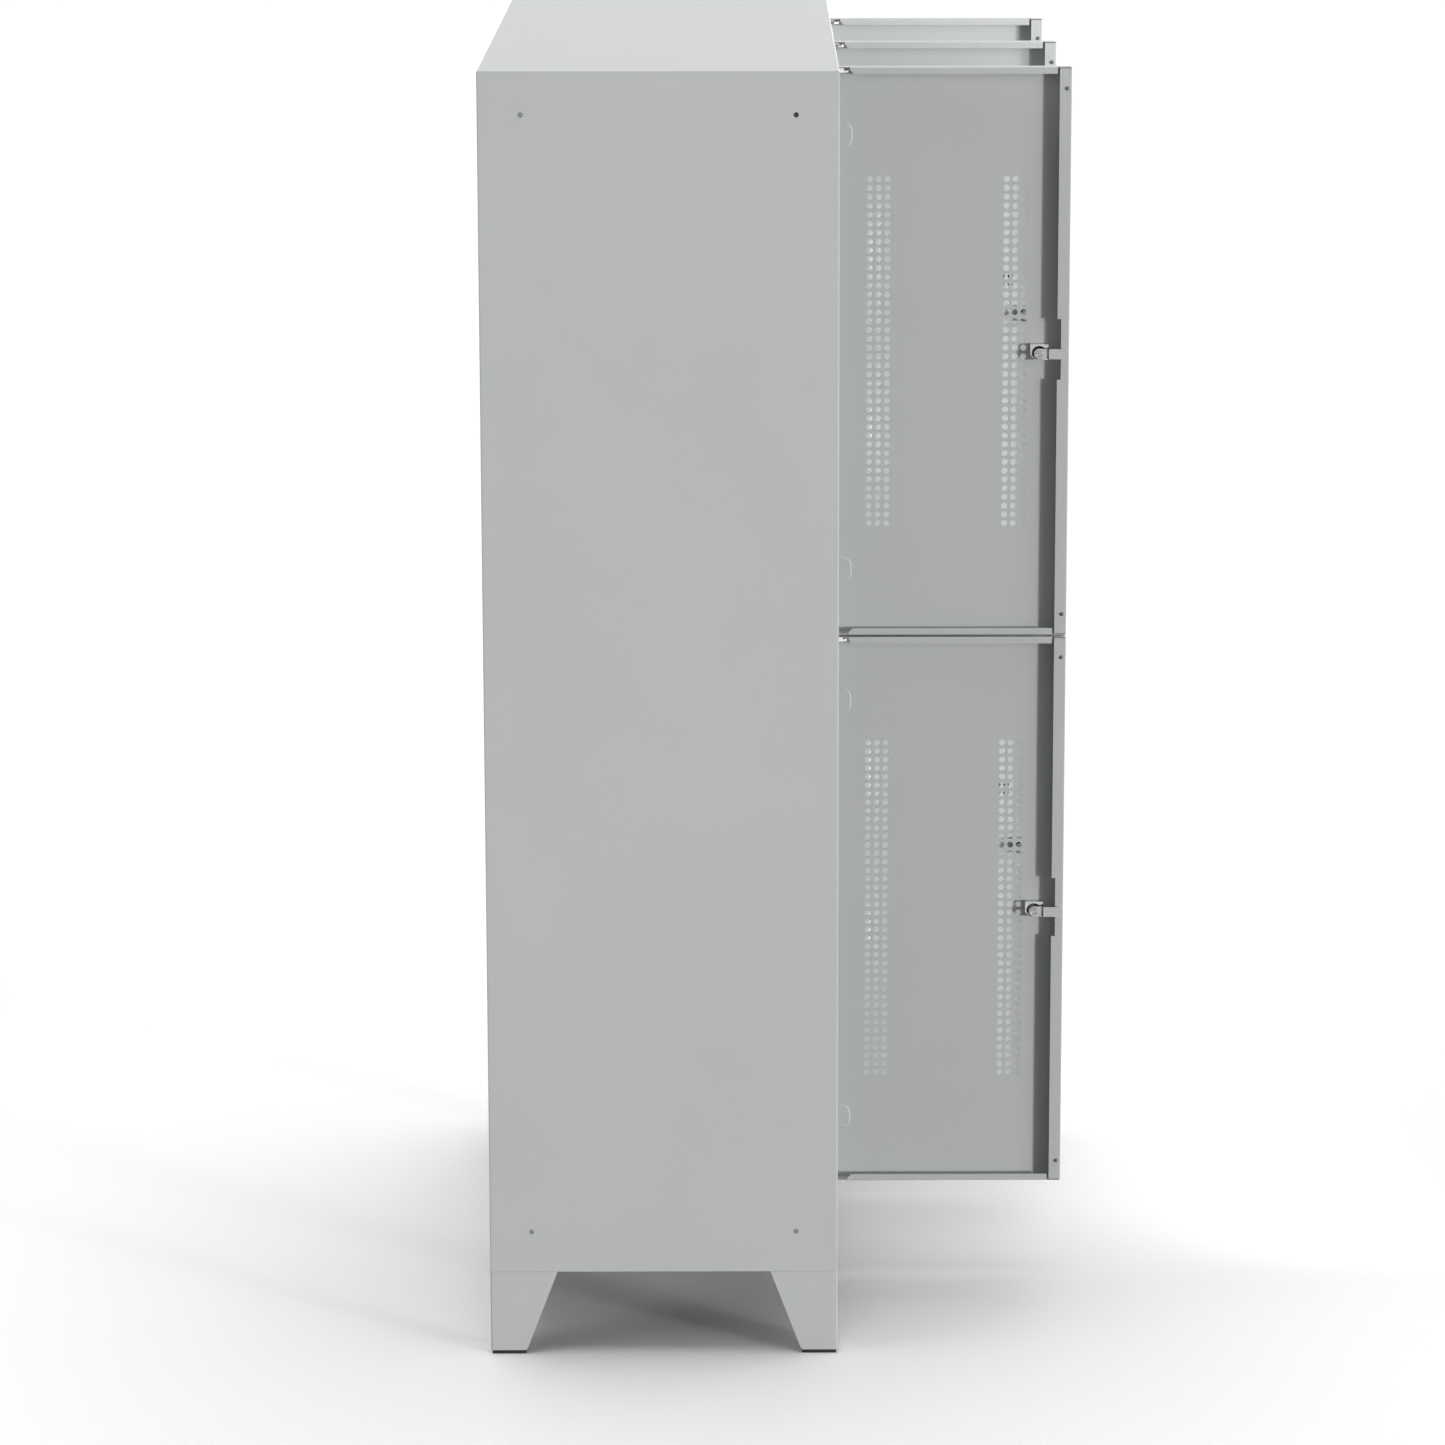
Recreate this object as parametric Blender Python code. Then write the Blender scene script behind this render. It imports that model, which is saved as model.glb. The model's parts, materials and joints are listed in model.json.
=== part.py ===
"""Double-tier clothes locker of folded steel sheet, with three columns of two doors.

Metres, +Z up, front towards -Y. The doors stand open at a right angle and the cams of their locks
point at the free edge. The origin is the middle of the whole object's footprint, on the floor.
"""
import math

import bmesh
import bpy
from mathutils import Matrix, Vector

# Overall size
CABINET_WIDTH = 1.190
CABINET_DEPTH = 0.500
CABINET_HEIGHT = 1.850
COLUMN_NAMES = ("left", "middle", "right")
TIER_NAMES = ("lower", "upper")

# Sheets, bends and fits
SHEET = 0.0008
BEND_RADIUS = 0.0020
BEND_STEPS = 2
FIT_GAP = 0.0003
CUT_OVERRUN = 0.0020
MERGE_DISTANCE = 0.000003

# Carcass
LEG_HEIGHT = 0.124
ROOF_RAIL_HEIGHT = 0.027
FLOOR_RAIL_HEIGHT = 0.025
POST_WIDTH = 0.036
POST_DEPTH = 0.040
REAR_FLANGE = 0.018
BOTTOM_FLANGE = 0.025
STOP_LAP = 0.014
STOP_GAP = 0.0005
SHELF_SWEEP_GAP = 0.0011
SHELF_FOLD_HEIGHT = 0.015
LUG_WIDTH = 0.016
LUG_SETBACK = 0.0006

# Slits at the two ends of a side panel's top edge, and the holes that join two cabinets
REAR_SLIT_LENGTH = 0.018
FRONT_SLIT_LENGTH = 0.007
SLIT_INSET = 0.0015
SLIT_HEIGHT = 0.0010
LINK_HOLE_RADIUS = 0.0038
LINK_HOLE_INSET = 0.060

# Legs and their foot caps
LEG_SHEET = 0.0015
LEG_TOP_WIDTH = 0.0965
LEG_FOOT_WIDTH = 0.0530
LEG_FOOT_CHAMFER = 0.0030
LEG_TOP_FLANGE = 0.0250
FOOT_CAP_SHOWS = 0.0055
FOOT_CAP_SETBACK = 0.0020
FOOT_CAP_BAR_WIDTH = 0.0140
FOOT_CAP_HEIGHT = 0.0180

# Doors
DOOR_SHEET = 0.0010
DOOR_DEPTH = 0.020
DOOR_SIDE_GAP = 0.0020
DOOR_END_GAP = 0.0011
DOOR_OPEN_ANGLE = math.radians(90)
FREE_LIP = 0.0175
HINGE_LIP = 0.0150
END_LIP = 0.0100
LIP_BUTT_GAP = 0.0020
HINGE_NOTCH_LENGTH = 0.0363
HINGE_NOTCH_HEIGHT = 0.0350
HINGE_NOTCH_CHAMFER = 0.0060
LOCK_NOTCH_DEPTH = 0.0054
LOCK_NOTCH_ABOVE = 0.0510
LOCK_NOTCH_BELOW = 0.0380

# Pivots, given from the door's hinge edge and from its outer face
PIVOT_INSET = 0.0102
PIVOT_SETBACK = 0.0055
PIVOT_RADIUS = 0.0025
PIVOT_CLEARANCE = 0.0003
PIVOT_REACH = 0.0030
PIVOT_COLLAR_RADIUS = 0.0042
PIVOT_HEAD_HEIGHT = 0.0025
PIVOT_TAIL = 0.0010
BUSH_HEIGHT = 0.0085
BUSH_LENGTH = 0.0252

# Locks, given from the door's free edge
LOCK_INSET = 0.0434
LOCK_BARREL_RADIUS = 0.0095
LOCK_BARREL_LENGTH = 0.0180
LOCK_HOLE_CLEARANCE = 0.0003
ROSETTE_RADIUS = 0.0130
ROSETTE_THICKNESS = 0.0030
ROSETTE_CHAMFER = 0.0012
HOUSING_WIDTH = 0.0270
HOUSING_HEIGHT = 0.0220
HOUSING_DEPTH = 0.0130
HOUSING_CHAMFER = 0.0080
CORE_RADIUS = 0.0060
CORE_CLEARANCE = 0.0003
KEY_SLOT_WIDTH = 0.0016
KEY_SLOT_LENGTH = 0.0075
KEY_SLOT_DEPTH = 0.0050
CAM_THICKNESS = 0.0022
CAM_WIDTH = 0.0160
CAM_REACH = 0.0420
CAM_BEND_PLACE = 0.0115
CAM_BEND_RADIUS = 0.0030
CAM_STOP_CLEARANCE = 0.0006
CAM_SCREW_RADIUS = 0.0048
CAM_SCREW_HEIGHT = 0.0020

# Clothes rails
RAIL_RADIUS = 0.0080
RAIL_DROP = 0.0600
RAIL_SOCKET_RADIUS = 0.0140
RAIL_SOCKET_LENGTH = 0.0080

# Sides of a circle, by its size
FINE_SIDES = 20
PLAIN_SIDES = 12
SMOOTH_ANGLE = math.radians(35)

# Sizes and places that follow from the ones above
COLUMN_PITCH = CABINET_WIDTH / len(COLUMN_NAMES)
HALF_POST = POST_WIDTH / 2
DOOR_WIDTH = COLUMN_PITCH - POST_WIDTH - 2 * DOOR_SIDE_GAP
DOOR_SWING = DOOR_WIDTH - PIVOT_INSET
DOOR_REACH = DOOR_SWING - PIVOT_SETBACK
FLOOR_TOP = LEG_HEIGHT + FLOOR_RAIL_HEIGHT
HEADER_BOTTOM = CABINET_HEIGHT - ROOF_RAIL_HEIGHT
TIER_GAP = 2 * DOOR_END_GAP + SHEET
DOOR_HEIGHT = (HEADER_BOTTOM - FLOOR_TOP - 2 * DOOR_END_GAP - TIER_GAP) / len(TIER_NAMES)
LOWER_DOOR_BOTTOM = FLOOR_TOP + DOOR_END_GAP
UPPER_DOOR_BOTTOM = LOWER_DOOR_BOTTOM + DOOR_HEIGHT + TIER_GAP
SHELF_BOTTOM = UPPER_DOOR_BOTTOM - DOOR_END_GAP - SHEET
REAR = (CABINET_DEPTH + DOOR_REACH) / 2
FRONT = REAR - CABINET_DEPTH
BACK_PANEL_REAR = REAR - SHEET - FIT_GAP
BACK_PANEL_FRONT = BACK_PANEL_REAR - SHEET
STOP_FACE = DOOR_DEPTH + STOP_GAP
HINGE_CORNER_SWEEP = math.hypot(PIVOT_INSET, DOOR_DEPTH - PIVOT_SETBACK)
SHELF_SETBACK = PIVOT_SETBACK + HINGE_CORNER_SWEEP + SHELF_SWEEP_GAP
PIVOT_HOLE_RADIUS = PIVOT_RADIUS + PIVOT_CLEARANCE

# Paint and metal colours, linear
LIGHT_GREY_PAINT = (0.52, 0.54, 0.53)
ZINC_PLATE = (0.62, 0.62, 0.60)
CHROME = (0.70, 0.70, 0.70)
BLACK_PLASTIC = (0.012, 0.012, 0.013)


def behind_front(distance):
    """World y of a place so far behind the cabinet's front plane."""
    return FRONT + distance


def clear_scene():
    for old in list(bpy.data.objects):
        bpy.data.objects.remove(old, do_unlink=True)


def new_material(name, colour, roughness, metallic):
    material = bpy.data.materials.new(name)
    material.use_nodes = True
    shader = material.node_tree.nodes["Principled BSDF"]
    shader.inputs["Base Color"].default_value = (*colour, 1.0)
    shader.inputs["Roughness"].default_value = roughness
    shader.inputs["Metallic"].default_value = metallic
    return material


def link_object(name, mesh):
    piece = bpy.data.objects.new(name, mesh)
    bpy.context.scene.collection.objects.link(piece)
    return piece


def mesh_from(name, shape):
    """Turn a bmesh into a mesh with its faces pointing out."""
    bmesh.ops.recalc_face_normals(shape, faces=shape.faces)
    if shape.calc_volume(signed=True) < 0:
        bmesh.ops.reverse_faces(shape, faces=shape.faces)
    mesh = bpy.data.meshes.new(name)
    shape.to_mesh(mesh)
    shape.free()
    return mesh


def prism(outline, axis, low, high):
    """Extrude a flat closed outline along a world axis.

    The outline's two numbers are y, z for X, then x, z for Y and x, y for Z.
    """
    to_world = {
        "X": lambda u, v, w: (w, u, v),
        "Y": lambda u, v, w: (u, w, v),
        "Z": lambda u, v, w: (u, v, w),
    }[axis]
    shape = bmesh.new()
    ring = [shape.verts.new(to_world(u, v, low)) for u, v in outline]
    base = shape.faces.new(ring)
    grown = bmesh.ops.extrude_face_region(shape, geom=[base])
    raised = [part for part in grown["geom"] if isinstance(part, bmesh.types.BMVert)]
    bmesh.ops.translate(shape, verts=raised, vec=Vector(to_world(0, 0, high - low)))
    return link_object("prism", mesh_from("prism", shape))


def box(x_span, y_span, z_span):
    """A block between the two x, y and z values."""
    (x0, x1), (y0, y1) = x_span, y_span
    return prism([(x0, y0), (x1, y0), (x1, y1), (x0, y1)], "Z", *z_span)


def circle(centre, radius, sides):
    """Points of a circle in a plane."""
    turns = [2 * math.pi * step / sides for step in range(sides)]
    return [(centre[0] + radius * math.cos(t), centre[1] + radius * math.sin(t)) for t in turns]


def half_circle(centre, radius, way):
    """Points of the half circle on the far side in u, for a way of 1 or -1, turning on from -v or v."""
    turns = [math.pi * step / (PLAIN_SIDES / 2) - math.pi / 2 for step in range(PLAIN_SIDES // 2 + 1)]
    return [(centre[0] + way * radius * math.cos(t), centre[1] + way * radius * math.sin(t)) for t in turns]


def turned(profile, axis, sides):
    """Turn a profile of (radius, place along the axis) pairs round a world axis.

    The profile starts and ends at radius zero.
    """
    shape = bmesh.new()
    chain = [shape.verts.new((radius, 0, height)) for radius, height in profile]
    edges = [shape.edges.new(pair) for pair in zip(chain, chain[1:])]
    bmesh.ops.spin(
        shape, geom=chain + edges, cent=(0, 0, 0), axis=(0, 0, 1), angle=2 * math.pi,
        steps=sides, use_merge=True,
    )
    bmesh.ops.remove_doubles(shape, verts=shape.verts, dist=MERGE_DISTANCE)
    tilt = {
        "X": Matrix.Rotation(math.radians(90), 4, "Y"),
        "Y": Matrix.Rotation(math.radians(-90), 4, "X"),
        "Z": Matrix.Identity(4),
    }[axis]
    shape.transform(tilt)
    return link_object("turned", mesh_from("turned", shape))


def rounded_path(corners, radius):
    """An open path through the corners, with each inner corner as an arc."""
    points = [Vector(corners[0])]
    for before, corner, after in zip(corners, corners[1:], corners[2:]):
        corner = Vector(corner)
        arriving = (corner - Vector(before)).normalized()
        leaving = (Vector(after) - corner).normalized()
        turn = arriving.angle_signed(leaving)
        side = math.copysign(1, turn)
        run_in = radius * math.tan(abs(turn) / 2)
        start = corner - arriving * run_in
        to_centre = Vector((arriving.y, -arriving.x)) * side * radius
        for step in range(BEND_STEPS + 1):
            swing = Matrix.Rotation(-turn * step / BEND_STEPS, 2)
            points.append(start + to_centre - swing @ to_centre)
    points.append(Vector(corners[-1]))
    return points


def folded_sheet(corners, thickness, bend_radius):
    """Closed outline of a folded sheet whose middle runs through the corners."""
    path = rounded_path(corners, bend_radius - thickness / 2)
    one_side, other_side = [], []
    for place, point in enumerate(path):
        arriving = (point - path[place - 1]).normalized() if place else None
        leaving = (path[place + 1] - point).normalized() if place + 1 < len(path) else None
        along = ((arriving or leaving) + (leaving or arriving)).normalized()
        across = Vector((-along.y, along.x))
        stretch = 1 / along.dot(leaving or arriving)
        one_side.append(point + across * stretch * thickness / 2)
        other_side.append(point - across * stretch * thickness / 2)
    return [tuple(point) for point in one_side + other_side[::-1]]


def carve(solid, operation, tools):
    """Join, cut or intersect a solid with each tool in turn, and keep the result."""
    for tool in tools:
        tool.hide_render = True
        tool.display_type = "WIRE"
        step = solid.modifiers.new(operation.lower(), "BOOLEAN")
        step.operation = operation
        step.solver = "EXACT"
        step.object = tool
    depsgraph = bpy.context.evaluated_depsgraph_get()
    result = bpy.data.meshes.new_from_object(solid.evaluated_get(depsgraph))
    solid.modifiers.clear()
    solid.data = result
    for tool in tools:
        bpy.data.objects.remove(tool, do_unlink=True)
    return solid


def take_mesh(solid, smooth=False):
    """Keep a built solid's mesh and drop the object that held it."""
    mesh = solid.data
    bpy.data.objects.remove(solid, do_unlink=True)
    if smooth:
        mesh.shade_smooth()
        mesh.set_sharp_from_angle(angle=SMOOTH_ANGLE)
    return mesh


def mirrored(mesh, x=1, y=1):
    """A copy of a mesh, mirrored in x, in y or in both, with its faces still pointing out."""
    shape = bmesh.new()
    shape.from_mesh(mesh)
    shape.transform(Matrix.Diagonal((x, y, 1, 1)))
    return mesh_from(mesh.name, shape)


def finished(mesh, material):
    """Give a mesh its material."""
    mesh.materials.append(material)
    return mesh


def place(name, mesh, location=(0, 0, 0), parent=None):
    """Put a mesh into the scene as one named piece."""
    piece = link_object(name, mesh)
    piece.location = location
    piece.parent = parent


def column_edges(column):
    """The x of a column's two boundary lines."""
    low = -CABINET_WIDTH / 2 + column * COLUMN_PITCH
    return low, low + COLUMN_PITCH


def column_walls(column):
    """The x of the two wall faces that look into a column."""
    low, high = column_edges(column)
    low_wall = SHEET if column == 0 else SHEET / 2
    high_wall = SHEET if column == len(COLUMN_NAMES) - 1 else SHEET / 2
    return low + low_wall, high - high_wall


def hinge_line(column):
    """The x and y of the upright line that a column's doors turn about."""
    high = column_edges(column)[1]
    return high - HALF_POST - DOOR_SIDE_GAP - PIVOT_INSET, behind_front(PIVOT_SETBACK)


def pivot_holes(low, high):
    """Cutters for the holes that take the pivots of all columns."""
    return [
        prism(circle(hinge_line(column), PIVOT_HOLE_RADIUS, PLAIN_SIDES), "Z", low, high)
        for column in range(len(COLUMN_NAMES))
    ]


def side_panel_mesh(closes_here):
    """A side panel from its outer face inward, folded into a flange at the back and half a post in
    front, which has the door stop on the side where the doors close."""
    middle = SHEET / 2
    corners = [
        (REAR_FLANGE, REAR - middle),
        (middle, REAR - middle),
        (middle, FRONT + middle),
        (HALF_POST - middle, FRONT + middle),
    ]
    if closes_here:
        stop = behind_front(STOP_FACE) + middle
        corners += [(HALF_POST - middle, stop), (HALF_POST + STOP_LAP, stop)]
    else:
        corners += [(HALF_POST - middle, behind_front(POST_DEPTH))]
    panel = prism(folded_sheet(corners, SHEET, BEND_RADIUS), "Z", LEG_HEIGHT, CABINET_HEIGHT)
    inside = (SHEET + FIT_GAP / 2, HALF_POST + STOP_LAP + CUT_OVERRUN)
    front_folds = (FRONT - CUT_OVERRUN, behind_front(POST_DEPTH) + CUT_OVERRUN)
    rear_fold = (REAR - BEND_RADIUS, REAR + CUT_OVERRUN)
    above = CABINET_HEIGHT + CUT_OVERRUN
    through = (-CUT_OVERRUN, SHEET + CUT_OVERRUN)
    slit = (CABINET_HEIGHT - SLIT_HEIGHT, above)
    rear_slit_end = REAR - SLIT_INSET
    front_slit_end = FRONT + SLIT_INSET
    tools = [
        box(inside, front_folds, (HEADER_BOTTOM - FIT_GAP, above)),
        box(inside, front_folds, (LEG_HEIGHT - CUT_OVERRUN, FLOOR_TOP + FIT_GAP)),
        box(inside, rear_fold, (CABINET_HEIGHT - REAR_FLANGE - FIT_GAP, above)),
        box(through, (rear_slit_end - REAR_SLIT_LENGTH, rear_slit_end), slit),
        box(through, (front_slit_end, front_slit_end + FRONT_SLIT_LENGTH), slit),
    ]
    for y in (FRONT + LINK_HOLE_INSET, REAR - LINK_HOLE_INSET):
        for z in (LEG_HEIGHT + LINK_HOLE_INSET, CABINET_HEIGHT - LINK_HOLE_INSET):
            tools.append(prism(circle((y, z), LINK_HOLE_RADIUS, PLAIN_SIDES), "X", *through))
    carve(panel, "DIFFERENCE", tools)
    flange_span = (FRONT + SHEET + FIT_GAP, BACK_PANEL_FRONT - FIT_GAP)
    flange = box((0, BOTTOM_FLANGE), flange_span, (LEG_HEIGHT, LEG_HEIGHT + SHEET))
    return take_mesh(carve(panel, "UNION", [flange]))


def roof_mesh():
    """The roof, folded down at the back, and in front into the rail over the doors."""
    middle = SHEET / 2
    corners = [
        (REAR - middle, CABINET_HEIGHT - REAR_FLANGE),
        (REAR - middle, CABINET_HEIGHT - middle),
        (FRONT + middle, CABINET_HEIGHT - middle),
        (FRONT + middle, HEADER_BOTTOM + middle),
        (behind_front(POST_DEPTH), HEADER_BOTTOM + middle),
    ]
    end = CABINET_WIDTH / 2 - SHEET - FIT_GAP
    roof = prism(folded_sheet(corners, SHEET, BEND_RADIUS), "X", -end, end)
    holes = pivot_holes(HEADER_BOTTOM - CUT_OVERRUN, HEADER_BOTTOM + SHEET + CUT_OVERRUN)
    return take_mesh(carve(roof, "DIFFERENCE", holes))


def floor_mesh():
    """The floor, folded down in front into the rail under the doors."""
    middle = SHEET / 2
    corners = [
        (BACK_PANEL_FRONT - FIT_GAP, FLOOR_TOP - middle),
        (FRONT + middle, FLOOR_TOP - middle),
        (FRONT + middle, LEG_HEIGHT),
    ]
    end = CABINET_WIDTH / 2 - SHEET - FIT_GAP
    floor = prism(folded_sheet(corners, SHEET, BEND_RADIUS), "X", -end, end)
    holes = pivot_holes(FLOOR_TOP - SHEET - CUT_OVERRUN, FLOOR_TOP + CUT_OVERRUN)
    return take_mesh(carve(floor, "DIFFERENCE", holes))


def back_panel_mesh():
    """The back, a flat sheet between the side panels and under the roof."""
    end = CABINET_WIDTH / 2 - BEND_RADIUS - FIT_GAP
    top = CABINET_HEIGHT - BEND_RADIUS - FIT_GAP
    return take_mesh(box((-end, end), (BACK_PANEL_FRONT, BACK_PANEL_REAR), (LEG_HEIGHT, top)))


def partition_mesh():
    """An upright wall between two columns, cut away in front under the roof's rail."""
    front = behind_front(SHEET + FIT_GAP)
    rear = BACK_PANEL_FRONT - FIT_GAP
    past_rail = behind_front(POST_DEPTH + FIT_GAP)
    low = FLOOR_TOP + FIT_GAP
    top = CABINET_HEIGHT - SHEET - FIT_GAP
    under_rail = HEADER_BOTTOM - FIT_GAP
    outline = [
        (front, low), (rear, low), (rear, top),
        (past_rail, top), (past_rail, under_rail), (front, under_rail),
    ]
    return take_mesh(prism(outline, "X", -SHEET / 2, SHEET / 2))


def post_mesh():
    """A post between two columns: a plain wall for the hinges on its left, a door stop on its right."""
    middle = SHEET / 2
    stop = behind_front(STOP_FACE) + middle
    corners = [
        (-HALF_POST + middle, behind_front(POST_DEPTH)),
        (-HALF_POST + middle, FRONT + middle),
        (HALF_POST - middle, FRONT + middle),
        (HALF_POST - middle, stop),
        (HALF_POST + STOP_LAP, stop),
    ]
    outline = folded_sheet(corners, SHEET, BEND_RADIUS)
    return take_mesh(prism(outline, "Z", FLOOR_TOP + FIT_GAP, HEADER_BOTTOM - FIT_GAP))


def shelf_mesh(column):
    """A shelf with a folded front edge and a lug between the doors that holds their pivots."""
    low_wall, high_wall = column_walls(column)
    low, high = low_wall + FIT_GAP, high_wall - FIT_GAP
    beside_post = column_edges(column)[1] - HALF_POST - FIT_GAP
    front = behind_front(SHELF_SETBACK)
    past_post = behind_front(POST_DEPTH + FIT_GAP)
    rear = BACK_PANEL_FRONT - FIT_GAP
    lug_front = behind_front(LUG_SETBACK)
    pivot_x = hinge_line(column)[0]
    lug_low, lug_high = pivot_x - LUG_WIDTH / 2, pivot_x + LUG_WIDTH / 2
    outline = [
        (low, front), (lug_low, front), (lug_low, lug_front), (lug_high, lug_front),
        (lug_high, front), (beside_post, front), (beside_post, past_post),
        (high, past_post), (high, rear), (low, rear),
    ]
    shelf_top = SHELF_BOTTOM + SHEET
    shelf = prism(outline, "Z", SHELF_BOTTOM, shelf_top)
    fold = box((low, beside_post), (front, front + SHEET), (SHELF_BOTTOM - SHELF_FOLD_HEIGHT, shelf_top))
    carve(shelf, "UNION", [fold])
    hole = prism(
        circle(hinge_line(column), PIVOT_HOLE_RADIUS, PLAIN_SIDES), "Z",
        SHELF_BOTTOM - CUT_OVERRUN, shelf_top + CUT_OVERRUN,
    )
    return take_mesh(carve(shelf, "DIFFERENCE", [hole]))


def leg_mesh():
    """The leg of the left front corner, measured from that corner: two tapered wings under a flange
    that carries the side panel."""
    top = LEG_HEIGHT - FIT_GAP
    wing = [
        (0, FOOT_CAP_SHOWS),
        (LEG_FOOT_WIDTH - LEG_FOOT_CHAMFER, FOOT_CAP_SHOWS),
        (LEG_FOOT_WIDTH, FOOT_CAP_SHOWS + LEG_FOOT_CHAMFER),
        (LEG_TOP_WIDTH, top),
        (0, top),
    ]
    flange_plan = [
        (0, 0), (LEG_TOP_WIDTH, 0), (LEG_TOP_WIDTH, LEG_TOP_FLANGE),
        (LEG_TOP_FLANGE, LEG_TOP_FLANGE), (LEG_TOP_FLANGE, LEG_TOP_WIDTH), (0, LEG_TOP_WIDTH),
    ]
    side_wing = prism(wing, "X", 0, LEG_SHEET)
    front_wing = prism(wing, "Y", 0, LEG_SHEET)
    flange = prism(flange_plan, "Z", top - LEG_SHEET, top)
    return take_mesh(carve(side_wing, "UNION", [front_wing, flange]))


def foot_cap_mesh():
    """The foot cap of the left front leg, an angle that plugs into the leg."""
    outer = LEG_SHEET + FIT_GAP
    inner = outer + FOOT_CAP_BAR_WIDTH
    reach = LEG_FOOT_WIDTH - FOOT_CAP_SETBACK
    outline = [
        (outer, outer), (reach, outer), (reach, inner),
        (inner, inner), (inner, reach), (outer, reach),
    ]
    return take_mesh(prism(outline, "Z", 0, FOOT_CAP_HEIGHT))


def rail_mesh(length):
    """A clothes rail along x from zero, in a round socket at each end."""
    profile = [
        (0, 0),
        (RAIL_SOCKET_RADIUS, 0),
        (RAIL_SOCKET_RADIUS, RAIL_SOCKET_LENGTH),
        (RAIL_RADIUS, RAIL_SOCKET_LENGTH),
        (RAIL_RADIUS, length - RAIL_SOCKET_LENGTH),
        (RAIL_SOCKET_RADIUS, length - RAIL_SOCKET_LENGTH),
        (RAIL_SOCKET_RADIUS, length),
        (0, length),
    ]
    return take_mesh(turned(profile, "X", PLAIN_SIDES), smooth=True)


def hinge_notch(outer_z, inward):
    """Cutter that takes the return lips away at one hinge corner; inward is the way into the door."""
    past_edge = PIVOT_INSET + CUT_OVERRUN
    lip_start = PIVOT_INSET - HINGE_NOTCH_LENGTH
    hinge_lip_edge = PIVOT_INSET - HINGE_LIP - CUT_OVERRUN
    chamfer_height = END_LIP + CUT_OVERRUN
    outline = [
        (past_edge, outer_z - inward * CUT_OVERRUN),
        (past_edge, outer_z + inward * HINGE_NOTCH_HEIGHT),
        (hinge_lip_edge, outer_z + inward * HINGE_NOTCH_HEIGHT),
        (hinge_lip_edge, outer_z + inward * chamfer_height),
        (lip_start - HINGE_NOTCH_CHAMFER - CUT_OVERRUN, outer_z + inward * chamfer_height),
        (lip_start, outer_z + inward * (END_LIP - HINGE_NOTCH_CHAMFER)),
        (lip_start, outer_z - inward * CUT_OVERRUN),
    ]
    back = DOOR_DEPTH - PIVOT_SETBACK
    return prism(outline, "Y", back - DOOR_SHEET - FIT_GAP / 2, back + CUT_OVERRUN)


def door_mesh():
    """A door in its closed position, measured from the pivot line at the door's bottom edge: a pan
    with return lips, open at its hinge corners and let in beside the lock."""
    outer, back = -PIVOT_SETBACK, DOOR_DEPTH - PIVOT_SETBACK
    free, hinged = -DOOR_SWING, PIVOT_INSET
    sheet = DOOR_SHEET
    behind_lips = (back - sheet - FIT_GAP / 2, back + CUT_OVERRUN)
    lip_edge = free + FREE_LIP
    lock_x, lock_z = lock_place()
    pan = box((free, hinged), (outer, back), (0, DOOR_HEIGHT))
    cavity = box(
        (free + sheet, hinged - sheet), (outer + sheet, back - sheet), (sheet, DOOR_HEIGHT - sheet),
    )
    mouth = box(
        (lip_edge, hinged - HINGE_LIP),
        (back - 2 * sheet, back + CUT_OVERRUN),
        (END_LIP, DOOR_HEIGHT - END_LIP),
    )
    butt = (lip_edge, lip_edge + LIP_BUTT_GAP)
    low_butt = box(butt, behind_lips, (-CUT_OVERRUN, END_LIP + CUT_OVERRUN))
    high_butt = box(butt, behind_lips, (DOOR_HEIGHT - END_LIP - CUT_OVERRUN, DOOR_HEIGHT + CUT_OVERRUN))
    lock_notch = box(
        (lip_edge - LOCK_NOTCH_DEPTH, lip_edge + CUT_OVERRUN), behind_lips,
        (lock_z - LOCK_NOTCH_BELOW, lock_z + LOCK_NOTCH_ABOVE),
    )
    lock_hole = prism(
        circle((lock_x, lock_z), LOCK_BARREL_RADIUS + LOCK_HOLE_CLEARANCE, FINE_SIDES), "Y",
        outer - CUT_OVERRUN, outer + sheet + CUT_OVERRUN,
    )
    pivot = circle((0, 0), PIVOT_HOLE_RADIUS, PLAIN_SIDES)
    low_hole = prism(pivot, "Z", -CUT_OVERRUN, sheet + CUT_OVERRUN)
    high_hole = prism(pivot, "Z", DOOR_HEIGHT - sheet - CUT_OVERRUN, DOOR_HEIGHT + CUT_OVERRUN)
    tools = [
        cavity, mouth, low_butt, high_butt, hinge_notch(0, 1), hinge_notch(DOOR_HEIGHT, -1),
        lock_notch, lock_hole, low_hole, high_hole,
    ]
    return take_mesh(carve(pan, "DIFFERENCE", tools))


def lock_place():
    """The x and z of a lock's axis on its door."""
    return LOCK_INSET - DOOR_SWING, DOOR_HEIGHT / 2


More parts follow.
